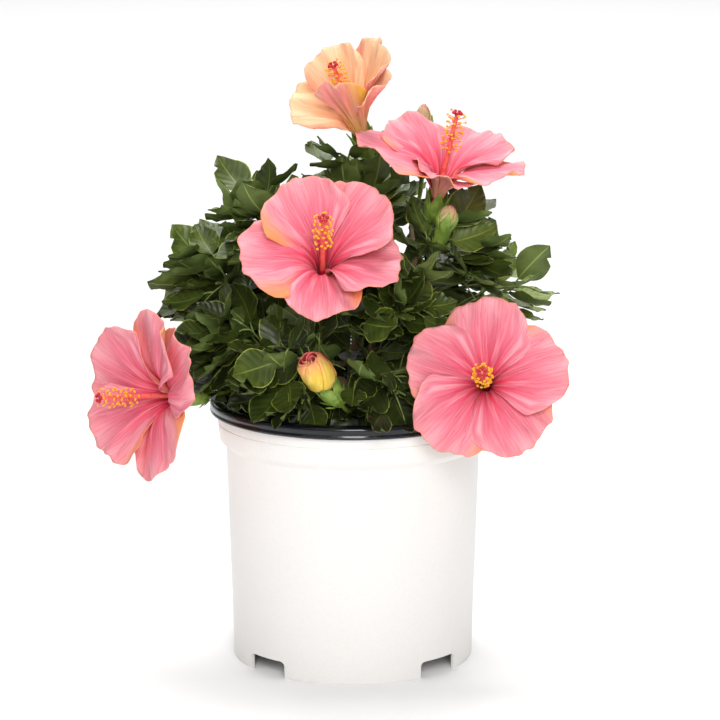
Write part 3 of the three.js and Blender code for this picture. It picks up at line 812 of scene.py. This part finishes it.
def petal_skin(name, stops, deep, pale, warm, warm_from):
    # A hibiscus petal, thin and velvety: deep at the throat and paler outward, with fine veins
    # that fan out from the claw about 2 mm apart, and apricot where one side lay under its
    # neighbour in the bud.
    base = stops[1][1]
    material, tree, shader = new_material(
        name, base, 0.6, Sheen_Weight=0.05, Specular_IOR_Level=0.25
    )
    spot = add(tree, "TexCoord").outputs["UV"]
    across, along = across_and_along(tree)
    streaks = noise(tree, stretch(tree, spot, (9, 1.2, 1)), 1, 3, 0.4)
    threads = noise(tree, stretch(tree, spot, (34, 1.1, 1)), 1, 1, 0.15)
    vein = grade(tree, off_half(tree, threads), 0.0, 0.04, 1.0, 0.0)
    fading = grade(tree, along, 0.1, 1.0, 0.6, 0.26)
    lit = cover(tree, grade(tree, streaks, 0.56, 0.3, 0.0, 0.7), ramp(tree, along, stops), pale)
    veined = cover(tree, reckon(tree, "MULTIPLY", vein, fading), lit, deep)
    side = grade(tree, across, warm_from, 0.03, curve="SMOOTHSTEP")
    fold = reckon(tree, "MULTIPLY", side, grade(tree, along, 0.45, 0.8))
    warmth = reckon(tree, "MAXIMUM", fold, grade(tree, along, 0.975, 1.0, 0.0, 0.45))
    paint(tree, shader, cover(tree, warmth, veined, warm))
    bump(tree, shader, reckon(tree, "MULTIPLY_ADD", vein, -0.25, streaks), 0.0012, 0.7)
    return material


def mottled(name, base, roughness, scale, detail, stops):
    # A small part of one soft colour, with a fine mottle in it.
    material, tree, shader = new_material(name, base, roughness)
    paint(tree, shader, ramp(tree, noise(tree, place_in(tree), scale, detail), stops))
    return material


def green_skin(name, base, light):
    # Soft green plant skin, of petioles, stalks and sepals: lightly mottled, a little glossy.
    return mottled(name, base, 0.45, 150, 3, [(0.35, base), (0.7, light)])


def grainy(name, base, roughness, scale, dark):
    # Pollen, stigmas, columns and perlite: one colour, with a fine mottle of painted shade, darker
    # as between its grains.
    return mottled(name, base, roughness, scale, 2, [(0.35, dark), (0.6, base)])


WHITE = moulded_white()
BLACK = moulded_black()
PEAT = potting_mix()
PERLITE = grainy("perlite", "#E6E2DA", 0.9, 900, "#C9C3B8")
BARK = bark("young_hibiscus_bark", "#4A3B28", "#8A7757")
TWIG_BARK = bark("green_twig_bark", "#4C5228", "#7F8A4A")
PETIOLE = green_skin("petiole_skin", "#5E7A32", "#86A04A")
SEPAL = green_skin("sepal_skin", "#64802C", "#8FA84A")
LEAF_PAINTED_SHADES = [  # copies of one leaf colour with painted shade and painted light, from the shade under the crown to its top
    leaf_face("hibiscus_leaf_painted_deep_shade", "#1A210A", "#2C3610", "#4C5822", "#7E8A36"),
    leaf_face("hibiscus_leaf_painted_half_shade", "#28330F", "#3F4C18", "#616F2C", "#8E9A3E"),
    leaf_face("hibiscus_leaf_painted_half_light", "#38461A", "#536124", "#7A883C", "#9CA844"),
    leaf_face("hibiscus_leaf_painted_full_light", "#4C5C24", "#6A7A33", "#8C9A46", "#AAB64C"),
]
YOUNG_LEAF = leaf_face("hibiscus_leaf_young", "#63772A", "#82943B", "#A2B052", "#B4BE54")
LEAF_BACK = leaf_back()
PINK = petal_skin(
    "hibiscus_petal_pink",
    [(0.02, "#B00826"), (0.2, "#D41C40"), (0.36, "#DE425F"), (0.58, "#E1687D"),
     (0.8, "#E57C8D"), (1.0, "#EB929A")],
    "#C82450", "#F3B6BF", "#F3925E", 0.26,
)
PINK_BACK = petal_skin(
    "hibiscus_petal_reverse",
    [(0.02, "#E8A078"), (0.3, "#EE9084"), (0.6, "#EE8C7C"), (0.85, "#F29A74"), (1.0, "#F8AA70")],
    "#DC6660", "#F8BCA0", "#F8A860", 0.5,
)
PEACH = petal_skin(
    "hibiscus_petal_peach",
    [(0.02, "#D04C38"), (0.15, "#E87E54"), (0.35, "#F0A274"), (0.65, "#F4BC8E"), (1.0, "#F6CAA0")],
    "#E28458", "#FADDB8", "#F0987A", 0.3,
)
PEACH_BACK = petal_skin(
    "hibiscus_petal_peach_reverse",
    [(0.02, "#DC9C34"), (0.25, "#E8A450"), (0.5, "#F09C7C"), (0.8, "#F0908A"), (1.0, "#F4A69C")],
    "#D8645C", "#F9C4B0", "#E8AE44", 0.42,
)
BUD_YELLOW = petal_skin(
    "rolled_petal_outside",
    [(0.02, "#E8B070"), (0.22, "#EBC64E"), (0.6, "#EECA4C"), (0.85, "#F2B462"), (1.0, "#F69270")],
    "#E0A834", "#F6DC80", "#F48C74", 0.2,
)
BUD_GREEN = petal_skin(
    "shut_petal_outside",
    [(0.02, "#8E9C50"), (0.5, "#AFAE66"), (0.8, "#CDB080"), (1.0, "#DCA68C")],
    "#8C9450", "#D8CC9A", "#CFA87E", 0.2,
)
BUD_RED = petal_skin(
    "rolled_petal_inside",
    [(0.02, "#8C0818"), (0.3, "#B81024"), (0.6, "#D41C30"), (0.85, "#E43C48"), (1.0, "#F47A74")],
    "#A00A20", "#F06068", "#F88C80", 0.1,
)
SALMON = grainy("staminal_column", "#EE7466", 0.45, 300, "#E04E4C")
POLLEN = grainy("pollen_gold", "#F6B81E", 0.7, 1500, "#EA980E")
CRIMSON = grainy("stigma_crimson", "#C8142A", 0.6, 1500, "#A00C1E")
THROAT = grainy("throat_crimson", "#C01236", 0.5, 400, "#98082A")


# The pot, its dark liner and the soil

def model_wall():
    """The lathed wall: up the outside over foot, chamfer, collar, groove and lip, and down the
    inside to the floor."""
    foot, top, collar, lip = POT["foot"], POT["top"], POT["collar"], POT["lip"]
    wall, raised, height = POT["wall"], POT["raised"], POT["height"]
    chamfer_from, collar_from = POT["chamfer_from"], POT["collar_from"]
    return lathe("pot_wall", [
        (1, raised), (foot - wall - 1.5, raised), (foot - wall, raised - 1.5),
        (foot - wall, 0.5), (foot - wall + 0.4, 0), (foot - 0.5, 0), (foot, 0.8), (foot + 0.5, 24),
        (top, chamfer_from - 1), (top + 0.5, chamfer_from),
        (collar - 0.7, collar_from - 0.8), (collar, collar_from + 0.4),
        (collar + 1.2, 200.6), (collar + 0.75, 201.2), (collar + 1.3, 201.8),
        (lip, height - 1), (lip - 0.6, height), (lip - wall, height), (collar - wall, collar_from),
        (top - wall, chamfer_from), (foot - wall, POT["floor"]), (1, POT["floor"]),
    ], POT["sides"])


def model_notch_cutter(turn):
    deselect()
    bpy.ops.mesh.primitive_cube_add(size=1, location=(0, 0, 0))
    cutter = bpy.context.active_object
    size = (NOTCH["width"] * MM, 2 * NOTCH["depth"] * MM, 2 * NOTCH["height"] * MM)
    edit(cutter)
    bpy.ops.transform.resize(value=size)
    pick(lambda co: co.z > 0 and abs(co.x) > 1 * MM and abs(co.y) < 1 * MM, "edges")
    bpy.ops.mesh.bevel(offset=NOTCH["corner"] * MM, segments=4)
    bpy.ops.mesh.select_all(action="SELECT")
    bpy.ops.transform.translate(value=(0, -POT["foot"] * MM, 0))
    end_edit()
    cutter.data.transform(Matrix.Rotation(turn, 4, "Z"))
    return cutter


def model_pot():
    """The white pot: its wall, closed at the floor, and the notches in its foot."""
    piece = model_wall()
    edit(piece)
    close_ring(near_axis(POT["raised"]))
    close_ring(near_axis(POT["floor"]))
    face_outward()
    end_edit()
    for i in range(NOTCH["count"]):
        cutter = model_notch_cutter((i + 0.5) / NOTCH["count"] * 2 * math.pi)
        cut = piece.modifiers.new("notch", "BOOLEAN")
        cut.operation = "DIFFERENCE"
        cut.object = cutter
        apply_all(piece)
        bpy.data.objects.remove(cutter)
    smooth_by_angle(piece, 30)
    return piece


def model_liner():
    """The liner's rolled lip with two bright ridges, and the skirt that goes down to the soil."""
    piece = lathe("liner_lip", LIP_PROFILE, POT["sides"])
    smooth_by_angle(piece, 50)
    return piece


def model_crumb():
    deselect()
    bpy.ops.mesh.primitive_ico_sphere_add(subdivisions=1, radius=1)
    crumb = bpy.context.active_object
    edit(crumb)
    pick(lambda co: co.z > 0.5)
    bpy.ops.transform.resize(value=(0.7, 1.3, 0.6), center_override=(0, 0, 0))
    end_edit()
    crumb.data.materials.append(PEAT)
    return crumb


def model_soil():
    """The soil's surface: a mound of potting mix with crumbs, bark and white perlite on it."""
    mound = lathe("soil_surface", SOIL_PROFILE, 72)
    edit(mound)
    close_ring(near_axis(SOIL_TOP))
    close_ring(lambda co: co.z < (SOIL_FOOT + 1) * MM)
    face_outward()
    end_edit()
    smooth_by_angle(mound, 40)
    mound.data.materials.append(PEAT)
    crumb = model_crumb()
    draw = dice(SEEDS["crumbs"])
    parts = [mound]
    for i in range(CRUMBS["count"]):
        radius = CRUMBS["within"] * math.sqrt(next(draw))
        turn = next(draw) * 2 * math.pi
        size = mix(CRUMBS["smallest"], CRUMBS["greatest"], next(draw) ** 2)
        height = 196.6 - radius * 0.02
        place = np.array([radius * math.cos(turn), radius * math.sin(turn), height])
        along = unit(np.array([next(draw) - 0.5, next(draw) - 0.5, 0.3 * next(draw) + 0.01]))
        grain = PERLITE if i % CRUMBS["perlite_every"] == 0 else None
        parts.append(stand_on(crumb, place, along, perpendicular(along), size, grain))
    bpy.data.objects.remove(crumb)
    return join("soil_surface", parts)


dress(model_pot(), "pot_plastic", ["pot"], WHITE)
dress(model_liner(), "liner_plastic", ["pot_rim"], BLACK)
dress(model_soil(), "potting_soil", ["soil"])


# The trunk and the boughs

trunk = grow_trunk()
stalks = {name: flower_stalk(bloom["base"], bloom["axis"]) for name, bloom in BLOOMS.items()}
for name, (base, tip, _) in BUDS.items():
    stalks[name] = flower_stalk(base, unit(tip - base))
targets = [(name, place, unit(TIPS[name] - place)) for name, place in BASES.items()]
for name, stalk in stalks.items():
    arrival = stalk.tangent(0)
    targets.append((name, stalk.point(0) - arrival * GAP, arrival))
fork = trunk.point(1)
targets.sort(key=lambda target: np.linalg.norm(target[1] - fork))
limbs = [trunk]
boughs = {}
for name, place, arrival in targets:
    boughs[name] = grow_bough(limbs, place, arrival)
    limbs.append(boughs[name])

wood_lines = [limb_line(trunk, STEPS["trunk"])]
wood_lines += [limb_line(bough, STEPS["bough"], 0.1) for bough in boughs.values()]
wood = tubes("trunk_and_boughs", wood_lines, 5)
relief = bpy.data.textures.new("bark_relief", "CLOUDS")
relief.noise_scale = 0.004
ridges = wood.modifiers.new("relief", "DISPLACE")
ridges.texture = relief
ridges.strength = 0.0011
apply_all(wood)
dress(wood, "bark", ["trunk"] + ["bough_to_" + name for name in boughs], BARK)


# Foliage

def shape_blade(draw):
    """In edit mode, draws a flat grid out row by row to a leaf's outline, creased along the
    midrib and waved at the margin."""
    wave = 0.03 + 0.035 * next(draw)
    turns = 1.5 + 1.2 * next(draw)
    phase = next(draw) * 2 * math.pi
    fold = 0.16 + 0.24 * next(draw)
    for row, share in enumerate(LEAF["outline"]):
        s = row / LEAF["rows"]
        half = LEAF["half_width"] * share
        for column in range(LEAF["columns"] + 1):
            u = column / LEAF["columns"] * 2 - 1
            pick(lambda co: abs(co.y - s) < 0.01 and abs(co.x - u / 2) < 0.01)
            margin = wave * math.sin(2 * math.pi * turns * s + phase + 1.9 * (u > 0))
            margin *= smooth(s / 0.3)
            height = fold * half * abs(u) + margin * (abs(u) == 1)
            height += -0.3 * margin * (abs(u) == 0.5) - 0.008 * (u == 0)
            bpy.ops.transform.translate(value=(u * half - u / 2, 0, height))


def seal_margin(leaf):
    """In edit mode, joins a leaf's face and back along the margin, as a sharp edge."""
    model = bmesh.from_edit_mesh(leaf.data)
    bpy.ops.mesh.select_mode(type="EDGE")
    bpy.ops.mesh.select_all(action="DESELECT")
    for side in model.edges:
        side.select = side.is_boundary
    model.select_flush_mode()
    bmesh.update_edit_mesh(leaf.data)
    bpy.ops.mesh.remove_doubles(threshold=0.02)
    model = bmesh.from_edit_mesh(leaf.data)
    for side in model.edges:
        side.select = len({face.material_index for face in side.link_faces}) > 1
    bmesh.update_edit_mesh(leaf.data)
    bpy.ops.mesh.mark_sharp()


def model_leaf(name, seed):
    """A leaf blade one unit long: shaped from a grid, given a back and curled down row by row."""
    draw = dice(seed)
    rows = LEAF["rows"]
    deselect()
    bpy.ops.mesh.primitive_grid_add(
        x_subdivisions=LEAF["columns"], y_subdivisions=rows, size=1, location=(0, 0, 0)
    )
    leaf = bpy.context.active_object
    leaf.name = leaf.data.name = name
    leaf.data.materials.append(LEAF_PAINTED_SHADES[0])
    leaf.data.materials.append(LEAF_BACK)
    edit(leaf)
    bpy.ops.transform.translate(value=(0, 0.5, 0))
    shape_blade(draw)
    end_edit()
    back = leaf.modifiers.new("back", "SOLIDIFY")
    back.thickness = LEAF["back"]
    back.offset = -1
    back.use_rim = False
    back.material_offset = 1
    apply_all(leaf)
    edit(leaf)
    seal_margin(leaf)
    curl = LEAF["curl"] * (0.75 + 0.5 * next(draw))
    for row in range(1, rows):
        pick(lambda co: co.y > row / rows - 0.03)
        bpy.ops.transform.rotate(
            value=-curl / rows, orient_axis="X", center_override=(0, row / rows - 0.04, 0)
        )
    end_edit()
    shade_smooth(leaf)
    return leaf


def corners_of(piece):
    flat = np.empty(len(piece.data.vertices) * 3)
    piece.data.vertices.foreach_get("co", flat)
    return flat.reshape(-1, 3)


LEAF_MASTERS = [model_leaf(f"leaf_{i}", SEEDS["leaf_forms"] + 17 * i) for i in range(LEAF_FORMS)]
LEAF_CORNERS = [corners_of(master) for master in LEAF_MASTERS]


def leaf_points(corners, neck, blade, face, length):
    """Where the corners of a master leaf come to lie."""
    return neck + length * (corners @ np.array([np.cross(blade, face), blade, face]))


def petiole_line(root, neck, petiole, blade):
    """A petiole that leaves its twig one way and turns to run into the blade."""
    length = np.linalg.norm(neck - root)
    leave = root + petiole * length * 0.4
    arrive = neck - blade * length * 0.3
    stalk = Limb([root, leave, arrive, neck + blade * 1.5], 0.95, 0.7)
    return limb_line(stalk, STEPS["petiole"])


def grow_mass(name):
    """A mass's twigs and leaves: those of its solid."""
    _, counts, size, seed = MASSES[name]
    tip = TIPS[name]
    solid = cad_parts[name].data.vertices
    corners = KDTree(len(solid))
    for i, corner in enumerate(solid):
        corners.insert(corner.co / MM, i)
    corners.balance()
    draw = dice(seed)
    twigs = []
    leaves = []

    def leaves_of(twig, count):
        phase = next(draw) * 360
        for i in range(count):
            t = mix(0.22, 1, (i + 1) / count)
            azimuth = phase + GOLDEN * i + (next(draw) - 0.5) * 24
            tilt = (next(draw) - 0.5) * 20
            scale = size * (0.88 + 0.24 * next(draw))
            petiole_length = LEAF["petiole"] * mix(1.1, 0.7, t) * scale
            blade_length = LEAF["blade"] * mix(1.08, 0.78, t) * scale
            for smaller, turn in LEAF_TRIES:
                root, petiole, blade, face = leaf_frame(twig, t, azimuth + turn, tilt)
                neck = root + petiole * petiole_length
                end = leaf_end(neck, blade, face, blade_length * smaller)
                if corners.find(end)[2] < 0.15:
                    leaves.append((root, neck, petiole, blade, face, blade_length * smaller))
                    break

    start = boughs[name].point(1) + boughs[name].tangent(1) * GAP
    stem = make_twig(start, tip, 0.04)
    twigs.append(stem)
    leaves_of(stem, counts[0])
    for turn in SIDE_TWIGS:
        t = mix(0.2, 0.5, next(draw))
        along = stem.tangent(t)
        across = swung(perpendicular(along), along, turn + 50 * (next(draw) - 0.5))
        reach = np.linalg.norm(tip - start) * mix(0.55, 0.75, next(draw))
        end = stem.point(t) + along * reach * 0.6 + across * reach * 0.8
        if corners.find(end)[2] < 1.3:
            twigs.append(make_twig(stem.point(t), end, 0.06))
            leaves_of(twigs[-1], counts[1])
    return twigs, leaves


def small_leaves_of(shoot, draw, free, middles):
    """Small leaves on a fine twig, each turned round it until there is room, or left out."""
    leaves = []
    for j in range(FINE["leaves"]):
        t = mix(0.3, 1, (j + 1) / FINE["leaves"])
        azimuth = next(draw) * 60 + GOLDEN * j
        tilt = (next(draw) - 0.5) * 30
        roll = (next(draw) - 0.5) * 60
        length = FINE["blade"] * mix(1.15, 0.8, t) * (0.8 + 0.4 * next(draw))
        corners = LEAF_CORNERS[int(next(draw) * len(LEAF_CORNERS))]
        for turn in FINE["turns"]:
            root, petiole, blade, face = leaf_frame(shoot, t, azimuth + turn, tilt)
            face = swung(face, blade, roll)
            neck = root + petiole * FINE["petiole"]
            middle = neck + blade * length * 0.5
            side = np.cross(blade, face) * length * 0.3
            end = leaf_end(neck, blade, face, length)
            roomy = min(math.dist(middle, other) for other in middles) > FINE["apart"]
            fits = roomy and free(np.array([end, middle, middle + side, middle - side]))
            outer = leaf_points(corners, neck, blade, face, length)
            if fits and in_reach(outer) and not in_flower(outer, CLEAR["small_leaf"]):
                leaves.append((root, neck, petiole, blade, face, length))
                middles.append(middle)
                break
    return leaves


def fill_mass(name, twigs, middles):
    """Finer twigs with small leaves, where the leaves of a mass have left room for them, and
    on its bough, which darkens the heart of the crown."""
    boxes = np.array([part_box(name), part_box("bough_to_" + name)]) / MM
    low, high = boxes[:, 0].min(axis=0), boxes[:, 1].max(axis=0)
    draw = dice(MASSES[name][3] * 31 + 7)
    shoots = []
    leaves = []

    def free(points):
        inside = np.all(points > low - 3) and np.all(points < high + 3)
        return inside and all(in_own_space(p, name, 6) and not in_pot(p) for p in points)

    for twig in [*twigs, boughs[name]]:
        phase = next(draw) * 360
        for i in range(FINE["twigs"]):
            t = mix(0.05, 0.95, (i + next(draw)) / FINE["twigs"])
            along = twig.tangent(t)
            side = swung(perpendicular(along), along, phase + GOLDEN * i)
            way = unit(side + along * 0.7 + UP * 0.2)
            start = twig.point(t)
            length = mix(FINE["shortest"], FINE["longest"], next(draw))
            shoot = make_twig(start, start + way * length, 0.08)
            shoot.root, shoot.tip = FINE["root"], FINE["tip"]
            line = np.array([shoot.point(share) for share in (0.4, 0.7, 1)])
            if free(line) and not in_flower(line, CLEAR["twig"]):
                shoots.append(shoot)
                leaves += small_leaves_of(shoot, draw, free, middles)
    return shoots, leaves


def fitting_length(corners, neck, blade, face, length):
    """The greatest of the lengths tried at which a leaf fits in its place, or 0."""
    for size in FITS:
        outer = leaf_points(corners, neck, blade, face, length * size)
        if in_reach(outer) and not in_flower(outer, CLEAR["leaf"]):
            return length * size
    return 0


grown = {name: grow_mass(name) for name in MASSES}
middles = []
for _, leaves in grown.values():
    for _, neck, _, blade, _, length in leaves:
        middles.append(neck + blade * length * 0.5)
old = [name for name in MASSES if name != YOUNG]
filled = {name: fill_mass(name, grown[name][0], middles) for name in old}

leaf_copies = {"leaves": [], "young_leaves": [], "small_leaves": []}
petiole_lines = []
twig_lines = []
tint_draw = dice(SEEDS["tints"])
for kind, growth, steps in (
    ("leaves", grown, STEPS["twig"]), ("small_leaves", filled, STEPS["fine_twig"]),
):
    for name, (twigs, leaves) in growth.items():
        twig_lines += [limb_line(twig, steps, 0.14) for twig in twigs]
        for root, neck, petiole, blade, face, length in leaves:
            which = int(next(tint_draw) * len(LEAF_MASTERS))
            # A lower leaf takes a darker copy, as painted shade under the crown, a higher leaf a
            # lighter copy, as painted light
            height = (neck[2] - SHADE["from"]) / SHADE["range"]
            shade = int(2.2 * max(0, height + 0.9 * next(tint_draw)))
            tint = LEAF_PAINTED_SHADES[min(shade, len(LEAF_PAINTED_SHADES) - 1)]
            size = fitting_length(LEAF_CORNERS[which], neck, blade, face, length)
            if size:
                young = name == YOUNG
                top = YOUNG_LEAF if young else tint
                copy = stand_on(LEAF_MASTERS[which], neck, blade, face, size, top)
                leaf_copies["young_leaves" if young else kind].append(copy)
                petiole_lines.append(petiole_line(root, neck, petiole, blade))
for master in LEAF_MASTERS:
    bpy.data.objects.remove(master)
dress(join("leaves", leaf_copies["leaves"]), "foliage", old)
dress(join("small_leaves", leaf_copies["small_leaves"]), "foliage")
dress(join("young_leaves", leaf_copies["young_leaves"]), "young_foliage", [YOUNG])
dress(tubes("twigs", twig_lines, 1), "bark", (), TWIG_BARK)
dress(tubes("petioles", petiole_lines, 0), "foliage", (), PETIOLE)


# Blooms

def model_sheet(make, rule, face, back):
    """A fine grid moved to a rule of its place across (-1 to 1) and along (0 to 1), given a
    thickness and a reverse side of its own colour."""
    deselect()
    bpy.ops.mesh.primitive_grid_add(
        x_subdivisions=make["across"], y_subdivisions=make["along"], size=2, location=(0, 0, 0)
    )
    sheet = bpy.context.active_object
    flat = corners_of(sheet)
    shaped = rule(flat[:, 0], (flat[:, 1] + 1) / 2) * MM
    sheet.data.vertices.foreach_set("co", shaped.ravel())
    sheet.data.materials.append(face)
    sheet.data.materials.append(back)
    sheet.data.update()
    solid = sheet.modifiers.new("thickness", "SOLIDIFY")
    solid.thickness = make["thickness"] * MM
    solid.offset = -1
    solid.material_offset = 1
    apply_all(sheet)
    shade_smooth(sheet)
    return sheet


def model_petals(bloom, face, back):
    petals = []
    for k in range(PETALS):
        rule = lambda u, v: petal_points(bloom, k, u, v)
        petals.append(model_sheet(PETAL, rule, face, back))
    return petals


def model_calyx(base, axis, heights, radii):
    """The sepals of a calyx, from its foot on the stalk to their pointed lobes."""
    sepals = []
    for k in range(PETALS):
        rule = lambda u, v: sepal_points(base, axis, heights, radii, k, u, v)
        sepals.append(model_sheet(CALYX, rule, SEPAL, SEPAL))
    return sepals


pink = [name for name in BLOOMS if name != FADING]
pink_petals = []
calyxes = []
for name in pink:
    pink_petals += model_petals(BLOOMS[name], PINK, PINK_BACK)
for bloom in BLOOMS.values():
    calyxes += model_calyx(bloom["base"], bloom["axis"], CALYX["heights"], CALYX["radii"])
dress(join("pink_petals", pink_petals), "petals", pink)
peach_petals = model_petals(BLOOMS[FADING], PEACH, PEACH_BACK)
dress(join("peach_petals", peach_petals), "fading_petals", [FADING])


# Buds: rolled petals in a calyx, whose lobes reach further up the two that are still shut

bud_petals = []
for name, (base, tip, radius) in BUDS.items():
    opening = name in BUD_END
    outside = BUD_YELLOW if opening else BUD_GREEN
    for k in range(PETALS):
        rule = lambda u, v: bud_points(name, k, u, v)
        bud_petals.append(model_sheet(BUD_PETAL, rule, BUD_RED, outside))
    top = math.dist(base, tip) * (0.26 if opening else 0.8)
    heights = (-22, -20.5, -15, -9, -2, top * 0.3, top * 0.65, top)
    radii = [radius * share for share in (0.14, 0.34, 0.6, 0.72, 0.8)]
    radii += [max(radius * 0.8, bud_radius(name, height) + 1.3) for height in heights[5:]]
    calyxes += model_calyx(base, unit(tip - base), heights, radii)
dress(join("bud_petals", bud_petals), "buds", list(BUDS))
dress(join("calyxes", calyxes), "buds")

stalk_lines = [limb_line(stalk, STEPS["stalk"], 0.1) for stalk in stalks.values()]
for name, stalk in stalks.items():
    foot = stalk.point(1)
    axis = stalk.tangent(1)
    size = CALYX["radius"] if name in BLOOMS else BUDS[name][2] * 0.8
    for i in range(CALYX["bracts"]):
        side = swung(perpendicular(axis), axis, 360 / CALYX["bracts"] * i)
        bend = foot + side * size * 0.75 + axis * 1.5
        end = foot + side * (size + 3.5) + axis * 8.5
        stalk_lines.append([
            (foot, 0.5), (mix(foot, bend, 0.6), 0.9), (bend, 0.9), (mix(bend, end, 0.6), 0.6),
            (end, 0.12),
        ])
dress(tubes("stalks_and_bracts", stalk_lines, 2), "buds", (), SEPAL)


# Stamens and stigmas

def small_ball(name, material, stretched):
    deselect()
    bpy.ops.mesh.primitive_ico_sphere_add(subdivisions=2, radius=1)
    ball = bpy.context.active_object
    ball.name = name
    edit(ball)
    bpy.ops.transform.resize(value=stretched, center_override=(0, 0, 0))
    end_edit()
    ball.data.materials.append(material)
    shade_smooth(ball)
    return ball


anther = small_ball("anther", POLLEN, (0.7, 1.0, 0.7))
pad = small_ball("stigma_pad", CRIMSON, (1, 1, 0.8))
column_lines = []
throat_lines = []
filament_lines = []
style_lines = []
anther_copies = []
pad_copies = []
for bloom in BLOOMS.values():
    base, axis, length = bloom["base"], bloom["axis"], bloom["column"]
    up = perpendicular(axis)
    draw = dice(SEEDS["stamens"] + int(bloom["length"]))
    line = []
    for i in range(COLUMN["steps"] + 1):
        t = i / COLUMN["steps"]
        line.append((base + axis * length * 0.97 * t, mix(COLUMN["root"], COLUMN["tip"], t)))
    column_lines.append(line)
    throat_lines.append([(base + axis * height, radius) for height, radius in COLUMN["throat"]])
    for i in range(COLUMN["anthers"]):
        t = 1 - COLUMN["anther_zone"] * (i + 0.5) / COLUMN["anthers"] - 0.04
        way = swung(up, axis, GOLDEN * i + 20 * next(draw))
        way = unit(way + axis * (0.15 + 0.5 * next(draw)))
        root = base + axis * length * t
        end = root + way * (COLUMN["reach"] * (0.7 + 0.35 * next(draw)))
        filament_lines.append([(root, 0.3), (mix(root, end, 0.5), 0.25), (end, 0.22)])
        anther_copies.append(stand_on(anther, end, unit(np.cross(way, axis)), way, 1.35))
    for i in range(COLUMN["pads"]):
        way = unit(swung(up, axis, FIFTH * i) * 0.75 + axis)
        root = base + axis * length * 0.95
        end = root + way * 5.2
        style_lines.append([(root, 0.5), (mix(root, end, 0.5), 0.45), (end, 0.4)])
        pad_copies.append(stand_on(pad, end, perpendicular(way), way, 1.7))
bpy.data.objects.remove(anther)
bpy.data.objects.remove(pad)
column_parts = []
for name, lines, sides, material in (
    ("columns", column_lines, 3, SALMON), ("throats", throat_lines, 3, THROAT),
    ("filaments", filament_lines, 0, SALMON), ("styles", style_lines, 1, CRIMSON),
):
    column_parts.append(tubes(name, lines, sides))
    column_parts[-1].data.materials.append(material)
dress(join("columns", column_parts), "petals")
dress(join("anthers", anther_copies), "petals")
dress(join("stigmas", pad_copies), "petals")


# Stage, light and camera

floor_material, _, _ = new_material("white_paper_sweep", "#F8F8F8", 0.9)
deselect()
bpy.ops.mesh.primitive_plane_add(size=30, location=(0, 0, 0))
floor = bpy.context.active_object
floor.name = "floor"
floor.data.materials.append(floor_material)

world = bpy.data.worlds.new("studio")
world.use_nodes = True
background = world.node_tree.nodes["Background"]
background.inputs["Color"].default_value = (1, 1, 1, 1)
background.inputs["Strength"].default_value = AMBIENT
bpy.context.scene.world = world
bpy.context.scene.view_settings.view_transform = "Standard"
for name, (place, size, power, aim) in LIGHTS.items():
    deselect()
    bpy.ops.object.light_add(type="AREA", location=place)
    light = bpy.context.active_object
    light.name = name
    light.data.size = size
    light.data.energy = power
    light.rotation_euler = (Vector(aim) - Vector(place)).to_track_quat("-Z", "Y").to_euler()

deselect()
bpy.ops.object.camera_add(
    location=CAMERA["place"], rotation=(math.radians(90 - CAMERA["down"]), 0, 0)
)
camera = bpy.context.active_object
camera.data.lens = CAMERA["lens"]
camera.data.sensor_width = 36
camera.data.dof.use_dof = False
bpy.context.scene.camera = camera
